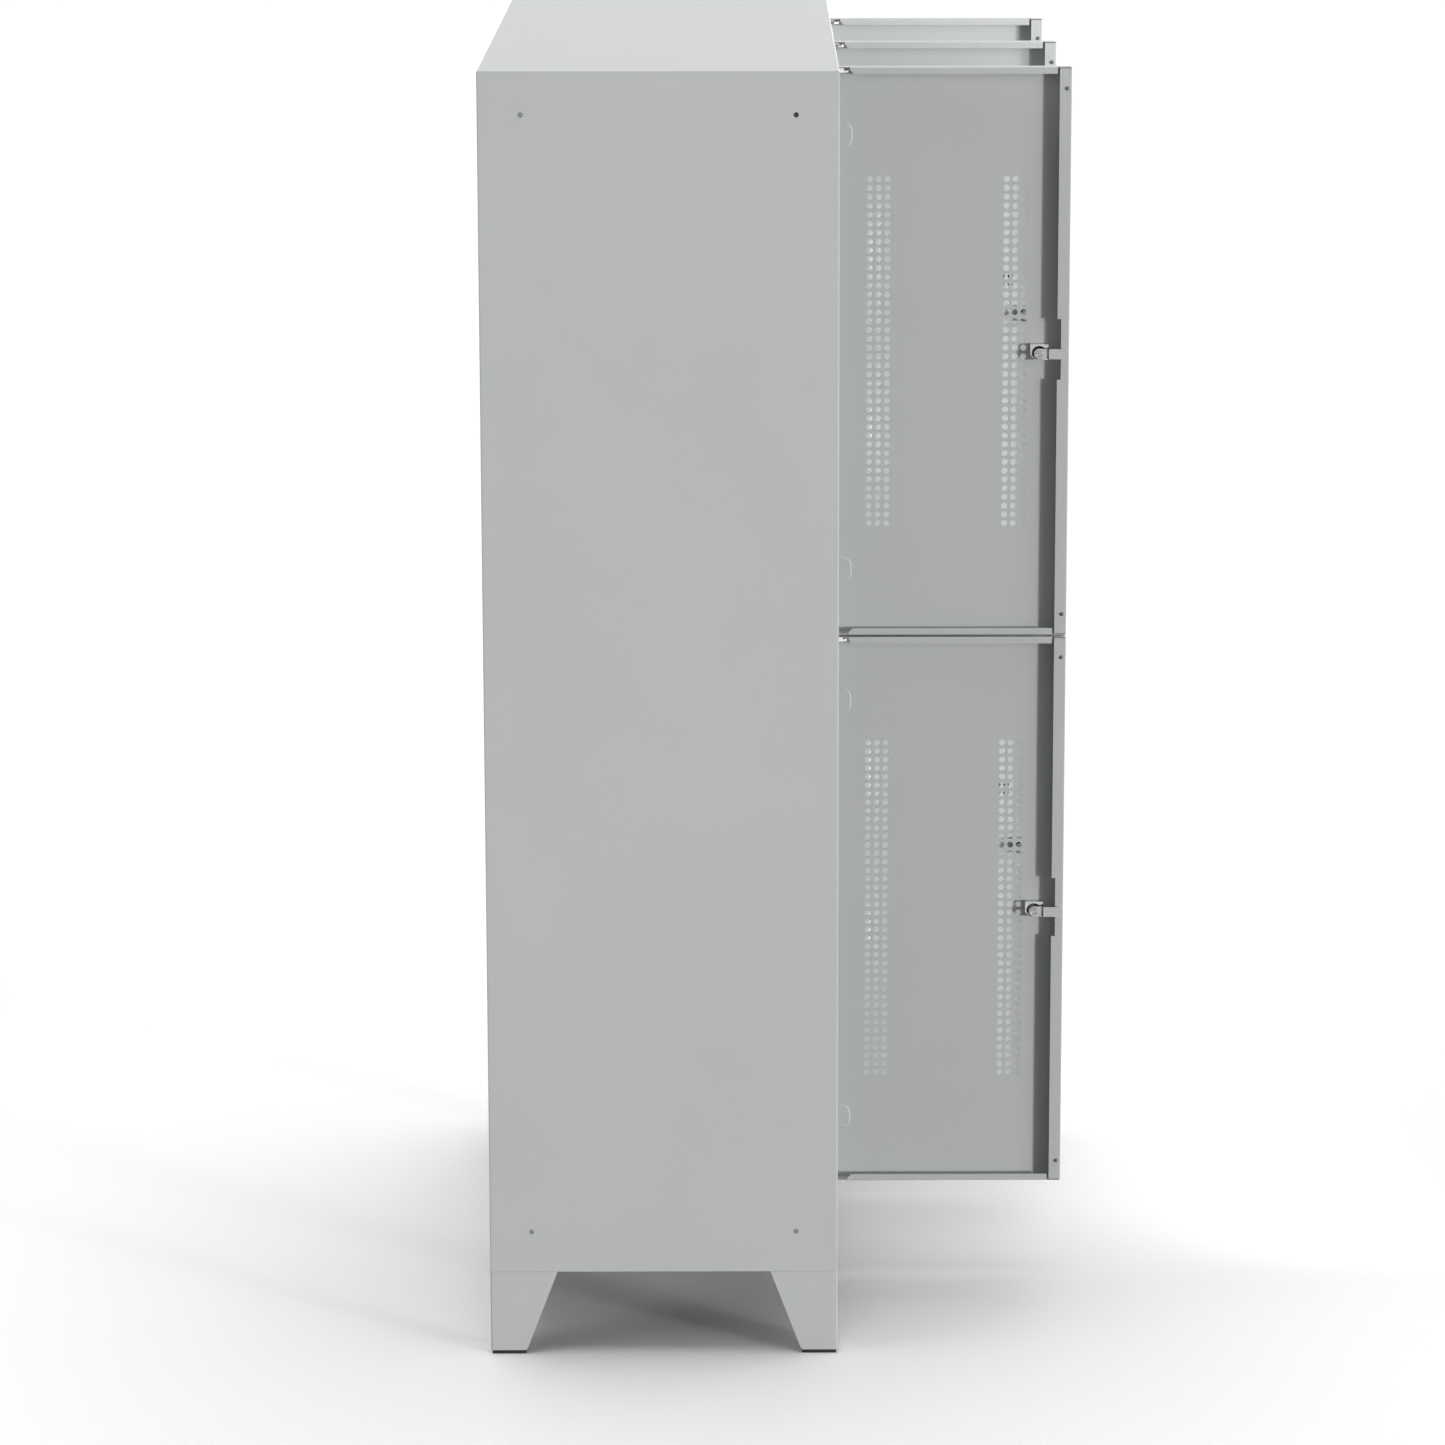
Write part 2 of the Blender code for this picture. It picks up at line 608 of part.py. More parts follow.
def lock_housing_mesh():
    """A lock housing round its own axis along y: a rosette outside, a barrel and a cast body inside."""
    face = -PIVOT_SETBACK
    rosette_back = face - FIT_GAP
    rosette_front = rosette_back - ROSETTE_THICKNESS
    barrel_end = face + LOCK_BARREL_LENGTH
    profile = [
        (0, rosette_front),
        (ROSETTE_RADIUS - ROSETTE_CHAMFER, rosette_front),
        (ROSETTE_RADIUS, rosette_front + ROSETTE_CHAMFER),
        (ROSETTE_RADIUS, rosette_back),
        (LOCK_BARREL_RADIUS, rosette_back),
        (LOCK_BARREL_RADIUS, barrel_end),
        (0, barrel_end),
    ]
    housing = turned(profile, "Y", FINE_SIDES)
    half_width, half_height = HOUSING_WIDTH / 2, HOUSING_HEIGHT / 2
    outline = [
        (-half_width, -half_height), (half_width - HOUSING_CHAMFER, -half_height),
        (half_width, HOUSING_CHAMFER - half_height), (half_width, half_height),
        (-half_width, half_height),
    ]
    body_front = face + DOOR_SHEET + FIT_GAP
    body = prism(outline, "Y", body_front, body_front + HOUSING_DEPTH)
    carve(housing, "UNION", [body])
    bore = prism(
        circle((0, 0), CORE_RADIUS + CORE_CLEARANCE, FINE_SIDES), "Y",
        rosette_front - CUT_OVERRUN, barrel_end + CUT_OVERRUN,
    )
    return take_mesh(carve(housing, "DIFFERENCE", [bore]), smooth=True)


def cam_mesh():
    """A lock's core with its cam, round the lock's axis: a joggled bar with round ends that reaches
    behind the door stop, held on the core by a screw."""
    face = -PIVOT_SETBACK
    core_front = face - FIT_GAP - ROSETTE_THICKNESS
    cam_front = face + LOCK_BARREL_LENGTH + FIT_GAP
    arm_front = face + STOP_FACE + SHEET + CAM_STOP_CLEARANCE
    half_bar, half_width = CAM_THICKNESS / 2, CAM_WIDTH / 2
    joggle = arm_front - cam_front
    side_view = [
        (half_width + CUT_OVERRUN, cam_front + half_bar),
        (-CAM_BEND_PLACE, cam_front + half_bar),
        (-CAM_BEND_PLACE - joggle, arm_front + half_bar),
        (-CAM_REACH - CUT_OVERRUN, arm_front + half_bar),
    ]
    past_side = half_width + CUT_OVERRUN
    bar = prism(folded_sheet(side_view, CAM_THICKNESS, CAM_BEND_RADIUS), "Z", -past_side, past_side)
    root_arc = half_circle((0, 0), half_width, 1)
    tip_arc = half_circle((half_width - CAM_REACH, 0), half_width, -1)
    plan = prism(root_arc + tip_arc, "Y", cam_front - CUT_OVERRUN, arm_front + CAM_THICKNESS + CUT_OVERRUN)
    carve(bar, "INTERSECT", [plan])
    core = prism(circle((0, 0), CORE_RADIUS, FINE_SIDES), "Y", core_front, cam_front + half_bar)
    screw_top = cam_front + CAM_THICKNESS + CAM_SCREW_HEIGHT
    screw = prism(circle((0, 0), CAM_SCREW_RADIUS, PLAIN_SIDES), "Y", cam_front + half_bar, screw_top)
    carve(bar, "UNION", [core, screw])
    slot = box(
        (-KEY_SLOT_WIDTH / 2, KEY_SLOT_WIDTH / 2),
        (core_front - CUT_OVERRUN, core_front + KEY_SLOT_DEPTH),
        (-KEY_SLOT_LENGTH / 2, KEY_SLOT_LENGTH / 2),
    )
    return take_mesh(carve(bar, "DIFFERENCE", [slot]), smooth=True)


def hinge_bush_mesh():
    """The bush bar at the top of a door, from the pivot line and the door's top edge: it lies along
    the outer sheet under the top flange and has a round end with the hole for the pivot."""
    half_width = PIVOT_SETBACK - DOOR_SHEET - FIT_GAP
    top = -DOOR_SHEET - FIT_GAP
    outline = [*half_circle((0, 0), half_width, 1), (-BUSH_LENGTH, half_width), (-BUSH_LENGTH, -half_width)]
    bar = prism(outline, "Z", top - BUSH_HEIGHT, top)
    hole = circle((0, 0), PIVOT_HOLE_RADIUS, PLAIN_SIDES)
    cutter = prism(hole, "Z", top - BUSH_HEIGHT - CUT_OVERRUN, top + CUT_OVERRUN)
    return take_mesh(carve(bar, "DIFFERENCE", [cutter]), smooth=True)


def pivot_pin_mesh(low_end, high_end, collars):
    """A pivot pin along z with its collars, each given by its lower and upper face."""
    profile = [(0, low_end), (PIVOT_RADIUS, low_end)]
    for low, high in collars:
        profile += [(PIVOT_RADIUS, low), (PIVOT_COLLAR_RADIUS, low)]
        profile += [(PIVOT_COLLAR_RADIUS, high), (PIVOT_RADIUS, high)]
    profile += [(PIVOT_RADIUS, high_end), (0, high_end)]
    return take_mesh(turned(profile, "Z", PLAIN_SIDES), smooth=True)


def pivot_pin_meshes():
    """The pins of a column from the underside of the sheet that holds each: a pin with a head over
    the roof's rail, one with two collars in the shelf's lug, and one with a head under the floor."""
    stub = DOOR_END_GAP + DOOR_SHEET + PIVOT_REACH
    collar_below = (FIT_GAP - DOOR_END_GAP, -FIT_GAP)
    collar_above = (SHEET + FIT_GAP, SHEET + DOOR_END_GAP - FIT_GAP)
    head_above = (SHEET + FIT_GAP, SHEET + FIT_GAP + PIVOT_HEAD_HEIGHT)
    head_below = (-FIT_GAP - PIVOT_HEAD_HEIGHT, -FIT_GAP)
    return {
        "top": pivot_pin_mesh(-stub, head_above[1] + PIVOT_TAIL, [collar_below, head_above]),
        "middle": pivot_pin_mesh(-stub, SHEET + stub, [collar_below, collar_above]),
        "bottom": pivot_pin_mesh(head_below[0] - PIVOT_TAIL, SHEET + stub, [head_below, collar_above]),
    }


def paint(name):
    return new_material(name + "_paint", LIGHT_GREY_PAINT, 0.45, 0.0)


def plastic(name):
    return new_material(name + "_plastic", BLACK_PLASTIC, 0.60, 0.0)


def zinc(name):
    return new_material(name + "_zinc", ZINC_PLATE, 0.35, 1.0)


def chrome(name):
    return new_material(name + "_chrome", CHROME, 0.15, 1.0)


def add_carcass():
    """The fixed sheets of the cabinet."""
    half_width = CABINET_WIDTH / 2
    left_side = finished(side_panel_mesh(True), paint("side_panel_left"))
    right_side = finished(mirrored(side_panel_mesh(False), x=-1), paint("side_panel_right"))
    place("side_panel_left", left_side, (-half_width, 0, 0))
    place("side_panel_right", right_side, (half_width, 0, 0))
    place("roof", finished(roof_mesh(), paint("roof")))
    place("floor_panel", finished(floor_mesh(), paint("floor_panel")))
    place("back_panel", finished(back_panel_mesh(), paint("back_panel")))
    partition = finished(partition_mesh(), paint("partition"))
    post = finished(post_mesh(), paint("post"))
    for number in range(1, len(COLUMN_NAMES)):
        at = (column_edges(number)[0], 0, 0)
        place("partition_%d" % number, partition, at)
        place("post_%d" % number, post, at)
    for column, side in enumerate(COLUMN_NAMES):
        place("shelf_" + side, finished(shelf_mesh(column), paint("shelf_" + side)))


def add_legs():
    """Four legs, each with its foot cap."""
    for end, y_sign in (("front", 1), ("rear", -1)):
        for side, x_sign in (("left", 1), ("right", -1)):
            name = "%s_%s" % (end, side)
            corner = (-x_sign * CABINET_WIDTH / 2, FRONT if y_sign > 0 else REAR, 0)
            leg = finished(mirrored(leg_mesh(), x_sign, y_sign), paint("leg_" + name))
            cap = finished(mirrored(foot_cap_mesh(), x_sign, y_sign), plastic("foot_cap_" + name))
            place("leg_" + name, leg, corner)
            place("foot_cap_" + name, cap, corner)


def add_rails():
    """A clothes rail across the top of each compartment."""
    ceilings = dict(zip(TIER_NAMES, (SHELF_BOTTOM, CABINET_HEIGHT - SHEET)))
    for column, side in enumerate(COLUMN_NAMES):
        low, high = column_walls(column)
        rail = finished(rail_mesh(high - low - 2 * FIT_GAP), zinc("clothes_rail_" + side))
        for tier, ceiling in ceilings.items():
            at = (low + FIT_GAP, (FRONT + REAR) / 2, ceiling - RAIL_DROP)
            place("clothes_rail_%s_%s" % (tier, side), rail, at)


def add_pivots():
    """The pivot pins of each column, in the sheets that hold them."""
    undersides = {"bottom": FLOOR_TOP - SHEET, "middle": SHELF_BOTTOM, "top": HEADER_BOTTOM}
    for level, mesh in pivot_pin_meshes().items():
        pin = finished(mesh, zinc("pivot_pin_" + level))
        for column, side in enumerate(COLUMN_NAMES):
            at = (*hinge_line(column), undersides[level])
            place("pivot_pin_%s_%s" % (level, side), pin, at)


def add_doors():
    """The doors on their hinge lines, each with its bush and its lock."""
    door = finished(door_mesh(), paint("door"))
    bush = finished(hinge_bush_mesh(), zinc("hinge_bush"))
    housing = finished(lock_housing_mesh(), chrome("lock_housing"))
    cam = finished(cam_mesh(), zinc("cam"))
    lock_x, lock_z = lock_place()
    bottoms = dict(zip(TIER_NAMES, (LOWER_DOOR_BOTTOM, UPPER_DOOR_BOTTOM)))
    for column, side in enumerate(COLUMN_NAMES):
        for tier, bottom in bottoms.items():
            name = "%s_%s" % (tier, side)
            hinge = link_object("hinge_axis_" + name, None)
            hinge.location = (*hinge_line(column), bottom)
            hinge.rotation_euler.z = DOOR_OPEN_ANGLE
            lock = link_object("lock_axis_" + name, None)
            lock.location = (lock_x, 0, lock_z)
            lock.parent = hinge
            place("door_" + name, door, parent=hinge)
            place("hinge_bush_" + name, bush, (0, 0, DOOR_HEIGHT), hinge)
            place("lock_housing_" + name, housing, parent=lock)
            place("cam_" + name, cam, parent=lock)


def build_locker():
    clear_scene()
    add_carcass()
    add_legs()
    add_rails()
    add_pivots()
    add_doors()


build_locker()
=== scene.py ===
"""Double-tier clothes locker with perforated doors, dressed for a still picture.

Laid out as an add-on and run as a script. Metres, +Z up, doors open towards -Y. Each operator builds
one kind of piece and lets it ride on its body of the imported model.
"""

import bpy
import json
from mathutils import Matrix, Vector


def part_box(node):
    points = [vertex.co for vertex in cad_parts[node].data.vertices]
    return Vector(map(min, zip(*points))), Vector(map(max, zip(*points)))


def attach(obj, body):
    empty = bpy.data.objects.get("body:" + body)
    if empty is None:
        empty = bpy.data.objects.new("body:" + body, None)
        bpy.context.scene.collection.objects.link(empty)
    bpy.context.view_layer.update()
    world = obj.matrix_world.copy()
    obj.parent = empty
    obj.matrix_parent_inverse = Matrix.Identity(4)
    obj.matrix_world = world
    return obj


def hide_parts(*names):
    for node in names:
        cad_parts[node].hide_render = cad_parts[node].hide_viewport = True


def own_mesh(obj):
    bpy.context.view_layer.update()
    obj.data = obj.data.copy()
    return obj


bl_info = {
    "name": "Clothes Locker Dresser",
    "version": (1, 0, 0),
    "blender": (4, 5, 0),
    "location": "3D View > Sidebar > Locker",
    "description": "Doors, locks, hinges, trim, finishes and studio for a double-tier clothes locker",
    "category": "Object",
}

import json
import math

import bmesh
import bpy
import numpy as np
from bpy.props import FloatProperty, FloatVectorProperty, IntProperty, PointerProperty
from mathutils import Euler, Vector

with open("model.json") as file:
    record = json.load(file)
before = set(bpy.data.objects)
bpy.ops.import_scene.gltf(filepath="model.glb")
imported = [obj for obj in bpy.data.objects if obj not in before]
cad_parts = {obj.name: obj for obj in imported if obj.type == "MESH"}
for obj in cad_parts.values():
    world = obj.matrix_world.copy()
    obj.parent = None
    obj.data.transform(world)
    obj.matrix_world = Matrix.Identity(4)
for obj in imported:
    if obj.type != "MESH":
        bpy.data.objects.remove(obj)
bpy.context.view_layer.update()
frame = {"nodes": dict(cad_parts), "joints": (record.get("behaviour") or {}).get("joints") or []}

MERGE_DISTANCE = 0.00001

# Sides of circles
HOLE_SIDES = 16
BAR_HOLE_SIDES = 20
BUFFER_SIDES = 24
SMALL_SIDES = 28
BARREL_SIDES = 32
RAIL_SIDES = 36

# Steps of bends and rounds
EDGE_STEPS = 3
LIP_STEPS = 4
JOGGLE_STEPS = 5
BEND_STEPS = 6
END_STEPS = 8
SLOT_STEPS = 12

# Angles between faces from which an edge is shaded sharp, and from which it is bevelled
SHARP_ANGLE = math.radians(35)
BEVEL_ANGLE = math.radians(50)
BEVEL_SEGMENTS = 2

# The part of a noise's range that is used, and the detail of the slow one
NOISE_LOW = 0.3
NOISE_HIGH = 0.7
CLOUD_DETAIL = 3.0

# Places on a plug's face as shares of its radius: its middle, its groove's floor and its rim
PLUG_MIDDLE = 0.45
PLUG_GROOVE = (0.60, 0.78)
PLUG_RIM = 0.86

# Angles of the far lamps in degrees: round from the camera's side, up, and the angle that each fills
LAMPS = {
    "key": (-50.7, 2.5, 5),
    "glow": (-56, 6, 34),
    "overhead": (-175, 76, 66),
    "side": (68, 7, 40),
    "fill": (-162, 3, 22),
}
FLOOR_HALF = 60.0
VIEW_DEPTH = 200.0
SENSOR_WIDTH = 36.0

DOORS = sorted(name[len("door_"):] for name in frame["nodes"] if name.startswith("door_"))
DOOR_LOW, DOOR_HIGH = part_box("door_" + DOORS[0])
DOOR_DEPTH = DOOR_HIGH.x - DOOR_LOW.x
DOOR_WIDTH = DOOR_HIGH.y - DOOR_LOW.y
DOOR_HEIGHT = DOOR_HIGH.z - DOOR_LOW.z


def linear(code):
    """Linear red, green and blue of an sRGB hex colour."""
    parts = np.array([int(code[place:place + 2], 16) for place in (1, 3, 5)]) / 255
    return tuple(np.where(parts <= 0.04045, parts / 12.92, ((parts + 0.055) / 1.055) ** 2.4))


def value_of(name, description, default):
    """A plain number."""
    return FloatProperty(name=name, description=description, default=default)


def length(name, description, default):
    """A size in metres."""
    return FloatProperty(
        name=name, description=description, default=default, unit="LENGTH", subtype="DISTANCE",
    )


def angle_of(name, description, degrees):
    """An angle, given in degrees."""
    return FloatProperty(
        name=name, description=description, default=math.radians(degrees), unit="ROTATION", subtype="ANGLE",
    )


def place_of(name, description, default):
    """A place in the scene, in metres."""
    return FloatVectorProperty(
        name=name, description=description, default=default, size=3, unit="LENGTH", subtype="TRANSLATION",
    )


def colour(name, description, code):
    """A colour, given as its sRGB hex code."""
    return FloatVectorProperty(
        name=name, description=description, default=linear(code), size=3, subtype="COLOR", min=0, max=2,
    )


class LockerDoorSizes(bpy.types.PropertyGroup):
    """The folded door and its perforation."""
    sheet: length("Sheet", "Thickness of the door's sheet", 0.0010)
    edge_radius: length("Edge radius", "Outer radius of the door's outer edges", 0.0020)
    lip_radius: length("Lip radius", "Outer radius of the bend between flange and return lip", 0.0015)
    free_lip: length("Free lip", "Width of the return lip at the free edge", 0.0175)
    hinge_lip: length("Hinge lip", "Width of the return lip at the hinge edge", 0.0150)
    end_lip: length("End lip", "Width of the return lips at the top and at the bottom", 0.0100)
    lip_gap: length("Lip gap", "Open joint between the free lip and an end lip", 0.0032)
    notch_length: length("Hinge notch length", "Stretch without an end lip at the hinge edge", 0.0363)
    notch_height: length("Hinge notch height", "Stretch without a hinge lip at each end", 0.0350)
    notch_chamfer: length("Hinge notch chamfer", "Slanted cut at the start of an end lip", 0.0060)
    lock_notch_depth: length("Lock notch depth", "How far the free lip is let in beside the lock", 0.0054)
    lock_notch_above: length("Lock notch above", "Reach of that notch above the lock", 0.0510)
    lock_notch_below: length("Lock notch below", "Reach of that notch below the lock", 0.0380)
    hole: length("Hole", "Diameter of a hole of the perforation", 0.0090)
    pitch: length("Pitch", "Distance from hole to hole, both ways", 0.0130)
    hole_rows: IntProperty(name="Rows", description="Holes above each other", default=40, min=2)
    hole_columns: IntProperty(name="Columns", description="Holes side by side in a group", default=3, min=1)
    group_offset: length("Group offset", "From the door's middle to the middle of a group", 0.0995)
    pad_size: length("Pad size", "Width and height of an embossed pad near the hinge", 0.0360)
    pad_radius: length("Pad radius", "Corner radius of a pad", 0.0120)
    pad_depth: length("Pad depth", "How far a pad is pressed inward", 0.0011)
    pad_slope: length("Pad slope", "Width of the slope round a pad", 0.00198)
    pad_margin: length("Pad margin", "From a pad to the border of its cell in the plate", 0.0017)
    pad_inset: length("Pad inset", "From the hinge edge to a pad", 0.0047)
    pad_below_top: length("Upper pad", "From the top edge to the middle of the upper pad", 0.1000)
    pad_above_bottom: length("Lower pad", "From the bottom edge to the middle of the lower pad", 0.0954)


class LockerLockSizes(bpy.types.PropertyGroup):
    """The cam locks: the case with its collar, the core, the cam and its screw."""
    barrel_radius: length("Barrel radius", "Radius of the lock's barrel", 0.0090)
    barrel_length: length("Barrel length", "From the door's outer face to the barrel's end", 0.0180)
    collar_radius: length("Collar radius", "Radius of the collar on the outer face", 0.0130)
    collar_depth: length("Collar depth", "Thickness of the collar", 0.0030)
    case_width: length("Case width", "Width of the cast body behind the sheet", 0.0272)
    case_above: length("Case above", "From the lock's axis to the cast body's top", 0.0132)
    case_below: length("Case below", "From the lock's axis to the cast body's bottom", 0.0102)
    case_depth: length("Case depth", "Depth of the cast body behind the sheet", 0.0130)
    case_chamfer: length("Case chamfer", "Cut corner of the cast body, low on the hinge's side", 0.0080)
    case_corner: length("Case corner", "Rounding of the cast body's corners", 0.0016)
    case_round: length("Case round", "Rounding of the cast body's front and rear edges", 0.0009)
    well_radius: length("Well radius", "Radius of the round well in the cast body", 0.0110)
    well_depth: length("Well depth", "Depth of that well at the barrel", 0.0060)
    well_lead: length("Well lead", "Straight wall at the well's mouth", 0.0010)
    well_wall: length("Well wall", "Least metal between the well and the case's side", 0.0004)
    seat_radius: length("Seat radius", "Radius of the barrel's end in the well", 0.0068)
    turned_round: length("Turned round", "Rounding of the turned edges", 0.0004)
    core_radius: length("Core radius", "Radius of the turning core", 0.0060)
    core_face: length("Core face", "Radius of the core's flat face", 0.0045)
    core_round: length("Core round", "Rounding of the core's edge", 0.0006)
    core_past: length("Core past", "How far the core stands past the barrel's end", 0.00027)
    slot_width: length("Key slot width", "Width of the key slot", 0.0016)
    slot_length: length("Key slot length", "Length of the key slot", 0.0075)
    slot_depth: length("Key slot depth", "Depth of the key slot", 0.0050)
    slot_corner: length("Key slot corner", "Corner radius of the key slot", 0.0003)
    cam_sheet: length("Cam sheet", "Thickness of the cam", 0.0022)
    cam_width: length("Cam width", "Width of the cam", 0.0148)
    cam_reach: length("Cam reach", "From the lock's axis to the cam's tip", 0.0420)
    cam_bend: length("Cam bend", "From the lock's axis to the cam's joggle", 0.0115)
    cam_joggle: length("Cam joggle", "How far the cam's arm steps inward", 0.0036)
    cam_run: length("Cam run", "Length of the joggle along the cam", 0.0018)
    cam_round: length("Cam round", "Rounding of the joggle's two bends", 0.0012)
    cam_edge: length("Cam edge", "Width of the cam's broken edges", 0.0003)
    screw_radius: length("Screw radius", "Radius of the screw's head on the cam", 0.0050)
    screw_height: length("Screw height", "Height of the screw's head", 0.0028)
    screw_lift: length("Screw lift", "Air between the cam and the screw's head", 0.000022)
    recess_outer: length("Recess outer", "Outer radius of the ring-shaped recess", 0.0040)
    recess_inner: length("Recess inner", "Inner radius of that recess", 0.0016)
    recess_taper: length("Recess taper", "How much its two walls close in at its floor", 0.0002)
    recess_depth: length("Recess depth", "Depth of that recess", 0.00238)
    gap: length("Gap", "Clearance between the lock's parts", 0.0003)


class LockerFittingSizes(bpy.types.PropertyGroup):
    """Hinge bars, buffers, plugs, clothes rails, legs and foot caps."""
    bar_length: length("Hinge bar length", "From the pivot line to the hinge bar's end", 0.0252)
    bar_width: length("Hinge bar width", "Width of the hinge bar", 0.0084)
    bar_height: length("Hinge bar height", "Height of the hinge bar", 0.0085)
    bar_slant: length("Hinge bar slant", "Length of the slanted face at the hinge bar's end", 0.0092)
    bar_below: length("Hinge bar below", "From the door's top edge to the hinge bar", 0.0013)
    bar_round: length("Hinge bar round", "Rounding of the hinge bar's upper and lower edges", 0.0017)
    bar_corner: length("Hinge bar corner", "Rounding of the hinge bar's far corners", 0.0024)
    pivot_hole: length("Pivot hole", "Radius of the hinge bar's hole", 0.0019)
    buffer_radius: length("Buffer radius", "Radius of a door buffer", 0.0030)
    buffer_height: length("Buffer height", "Height of a door buffer", 0.0026)
    buffer_in: length("Buffer inset", "From the free edge to a buffer's middle", 0.0066)
    buffer_end: length("Buffer from end", "From the door's end to a buffer's middle", 0.0310)
    plug_radius: length("Plug radius", "Radius of a hole plug", 0.0037)
    plug_inset: length("Plug inset", "From the side panel's edges to a plug's middle", 0.0600)
    plug_depth: length("Plug depth", "From the side panel's face to a plug's back", 0.0030)
    plug_centre: length("Plug centre", "Depth of a plug's face at its centre", 0.0004)
    plug_middle: length("Plug middle", "Depth of a plug's face at its middle's edge", 0.0005)
    plug_groove: length("Plug groove", "Depth of the groove round a plug's middle", 0.0010)
    plug_rim: length("Plug rim", "Depth of a plug's rim and rounding of its edges", 0.0003)
    rail_radius: length("Rail radius", "Radius of a clothes rail", 0.0080)
    socket_radius: length("Socket radius", "Radius of a clothes rail's socket", 0.0140)
    socket_length: length("Socket length", "Length of a clothes rail's socket", 0.0080)
    socket_round: length("Socket round", "Rounding of a socket's rims", 0.0015)
    leg_sheet: length("Leg sheet", "Thickness of a leg's sheet", 0.0015)
    leg_bend: length("Leg bend", "Outer radius of the bend between a leg's wings", 0.0025)
    leg_top: length("Leg top width", "Width of a leg's wing at the top", 0.0965)
    leg_foot: length("Leg foot width", "Width of a leg's wing near the floor", 0.0530)
    leg_chamfer: length("Leg chamfer", "Cut corner at a wing's foot", 0.0030)
    leg_flange: length("Leg flange", "Width of the flange under the cabinet", 0.0250)
    cap_shows: length("Foot cap shows", "Height of a foot cap under its leg", 0.0055)
    cap_height: length("Foot cap height", "Height of a foot cap", 0.0180)
    cap_bar: length("Foot cap bar", "Width of a foot cap's two bars", 0.0140)
    cap_reach: length("Foot cap reach", "From the leg's corner to a foot cap's end", 0.0510)
    cap_gap: length("Foot cap gap", "Clearance between a foot cap and its leg", 0.0003)
    cap_corner: length("Foot cap corner", "Rounding of a foot cap's corners", 0.0015)
    cap_round: length("Foot cap round", "Rounding of a foot cap's upper and lower edges", 0.0007)


class LockerFinishes(bpy.types.PropertyGroup):
    """Colours of paint, metal and plastic."""
    paint: colour("Powder coat", "Light grey powder coat", "#C4C7C5")
    zinc: colour("Zinc plate", "Bright zinc plate", "#ADADAD")
    chrome: colour("Chrome plate", "Bright chrome plate", "#BDBEC0")
    black_plastic: colour("Black plastic", "Moulded black plastic", "#161717")
    # Painted highlight: the hinge bars' metal is a brighter copy of the zinc plate, so that their
    # reflections read white
    nickel: colour("Nickel plate", "Polished nickel plate of the hinge bars", "#E6E6E4")
    plug: colour("Plug", "Grey plastic of the hole plugs", "#8F9391")
    buffer: colour("Buffer", "Soft grey plastic of the door buffers", "#6A6E6C")


class LockerStudio(bpy.types.PropertyGroup):
    """Camera, lamps and floor."""
    camera_place: place_of("Camera", "Place of the camera", (-7.9950, 0.0519, 2.5662))
    camera_pitch: angle_of("Pitch", "How far the camera looks down", 11.98)
    camera_yaw: angle_of("Yaw", "How far the camera looks to its right", 0.460)
    camera_lens: value_of("Lens", "Focal length in millimetres", 133.93)
    camera_shift: FloatVectorProperty(
        name="Shift", description="Shift of the lens", default=(-0.0450, -0.0300), size=2,
    )
    key: value_of("Key", "Strength of the key light", 1.92)
    glow: value_of("Glow", "Strength of the soft light round the key", 1.03)
    overhead: value_of("Overhead", "Strength of the light from above", 2.30)
    fill: value_of("Fill", "Strength of the light from behind", 1.20)
    side: value_of("Side", "Strength of the light from the other side", 1.22)
    strip: value_of("Strip", "Power of the strip light in watts", 3.9)
    strip_width: length("Strip width", "Width of the strip light", 0.12)
    strip_height: length("Strip height", "Height of the strip light", 2.08)
    strip_place: place_of("Strip place", "Middle of the strip light", (-0.2, -1.1, 1.06))
    strip_turn: angle_of("Strip turn", "Turn of the strip light about the upright", -40)
    strip_spread: angle_of("Strip spread", "Angle that the strip light's grid lets through", 100)
    ambient: value_of("Ambient", "Strength of the light from all round", 0.13)
    floor: colour("Floor", "Colour of the floor for light that bounces", "#7C7C7C")
    floor_gain: value_of("Floor gain", "How much paler than white paper the camera sees the floor", 1.05)


def patch(points, *faces):
    """One stretch of surface: its points and its arrays of faces."""
    return np.asarray(points, float).reshape(-1, 3), list(faces)


def grid(points, closed=False, keep=None):
    """A patch on a two-parameter grid of points: each cell between neighbours is a quad. A closed grid
    joins its last column to its first, and keep marks the cells that stay."""
    rows, columns = points.shape[:2]
    number = np.arange(rows * columns).reshape(rows, columns)
    if closed:
        number = np.concatenate([number, number[:, :1]], axis=1)
    quads = np.stack([number[:-1, :-1], number[:-1, 1:], number[1:, 1:], number[1:, :-1]], axis=-1)
    quads = quads.reshape(-1, 4) if keep is None else quads[keep]
    return patch(points, quads)


def bridge(outer, inner):
    """Triangles between two closed rings, given by the share of the way round of each point. An outer
    edge meets the first inner point past its own middle, and an inner edge the outer point that holds
    there. The inner ring's points are numbered after the outer ring's."""
    outer, inner = np.asarray(outer), np.asarray(inner)
    count, many = len(outer), len(inner)
    middle = (outer + np.append(outer[1:], outer[0] + 1)) / 2 % 1
    meets = np.searchsorted(inner, middle) % many
    order = np.argsort(middle)
    owner = (order[np.searchsorted(middle[order], inner, side="right") - 1] + 1) % count
    place, step = np.arange(count), np.arange(many)
    first = np.stack([place, (place + 1) % count, count + meets], axis=1)
    second = np.stack([count + (step + 1) % many, count + step, owner], axis=1)
    return np.concatenate([first, second])


def turn_shares(points, centre=(0, 0)):
    """Share of a full turn of each point round the centre, from the first axis."""
    across = np.asarray(points) - centre
    return np.arctan2(across[..., 1], across[..., 0]) / (2 * math.pi) % 1


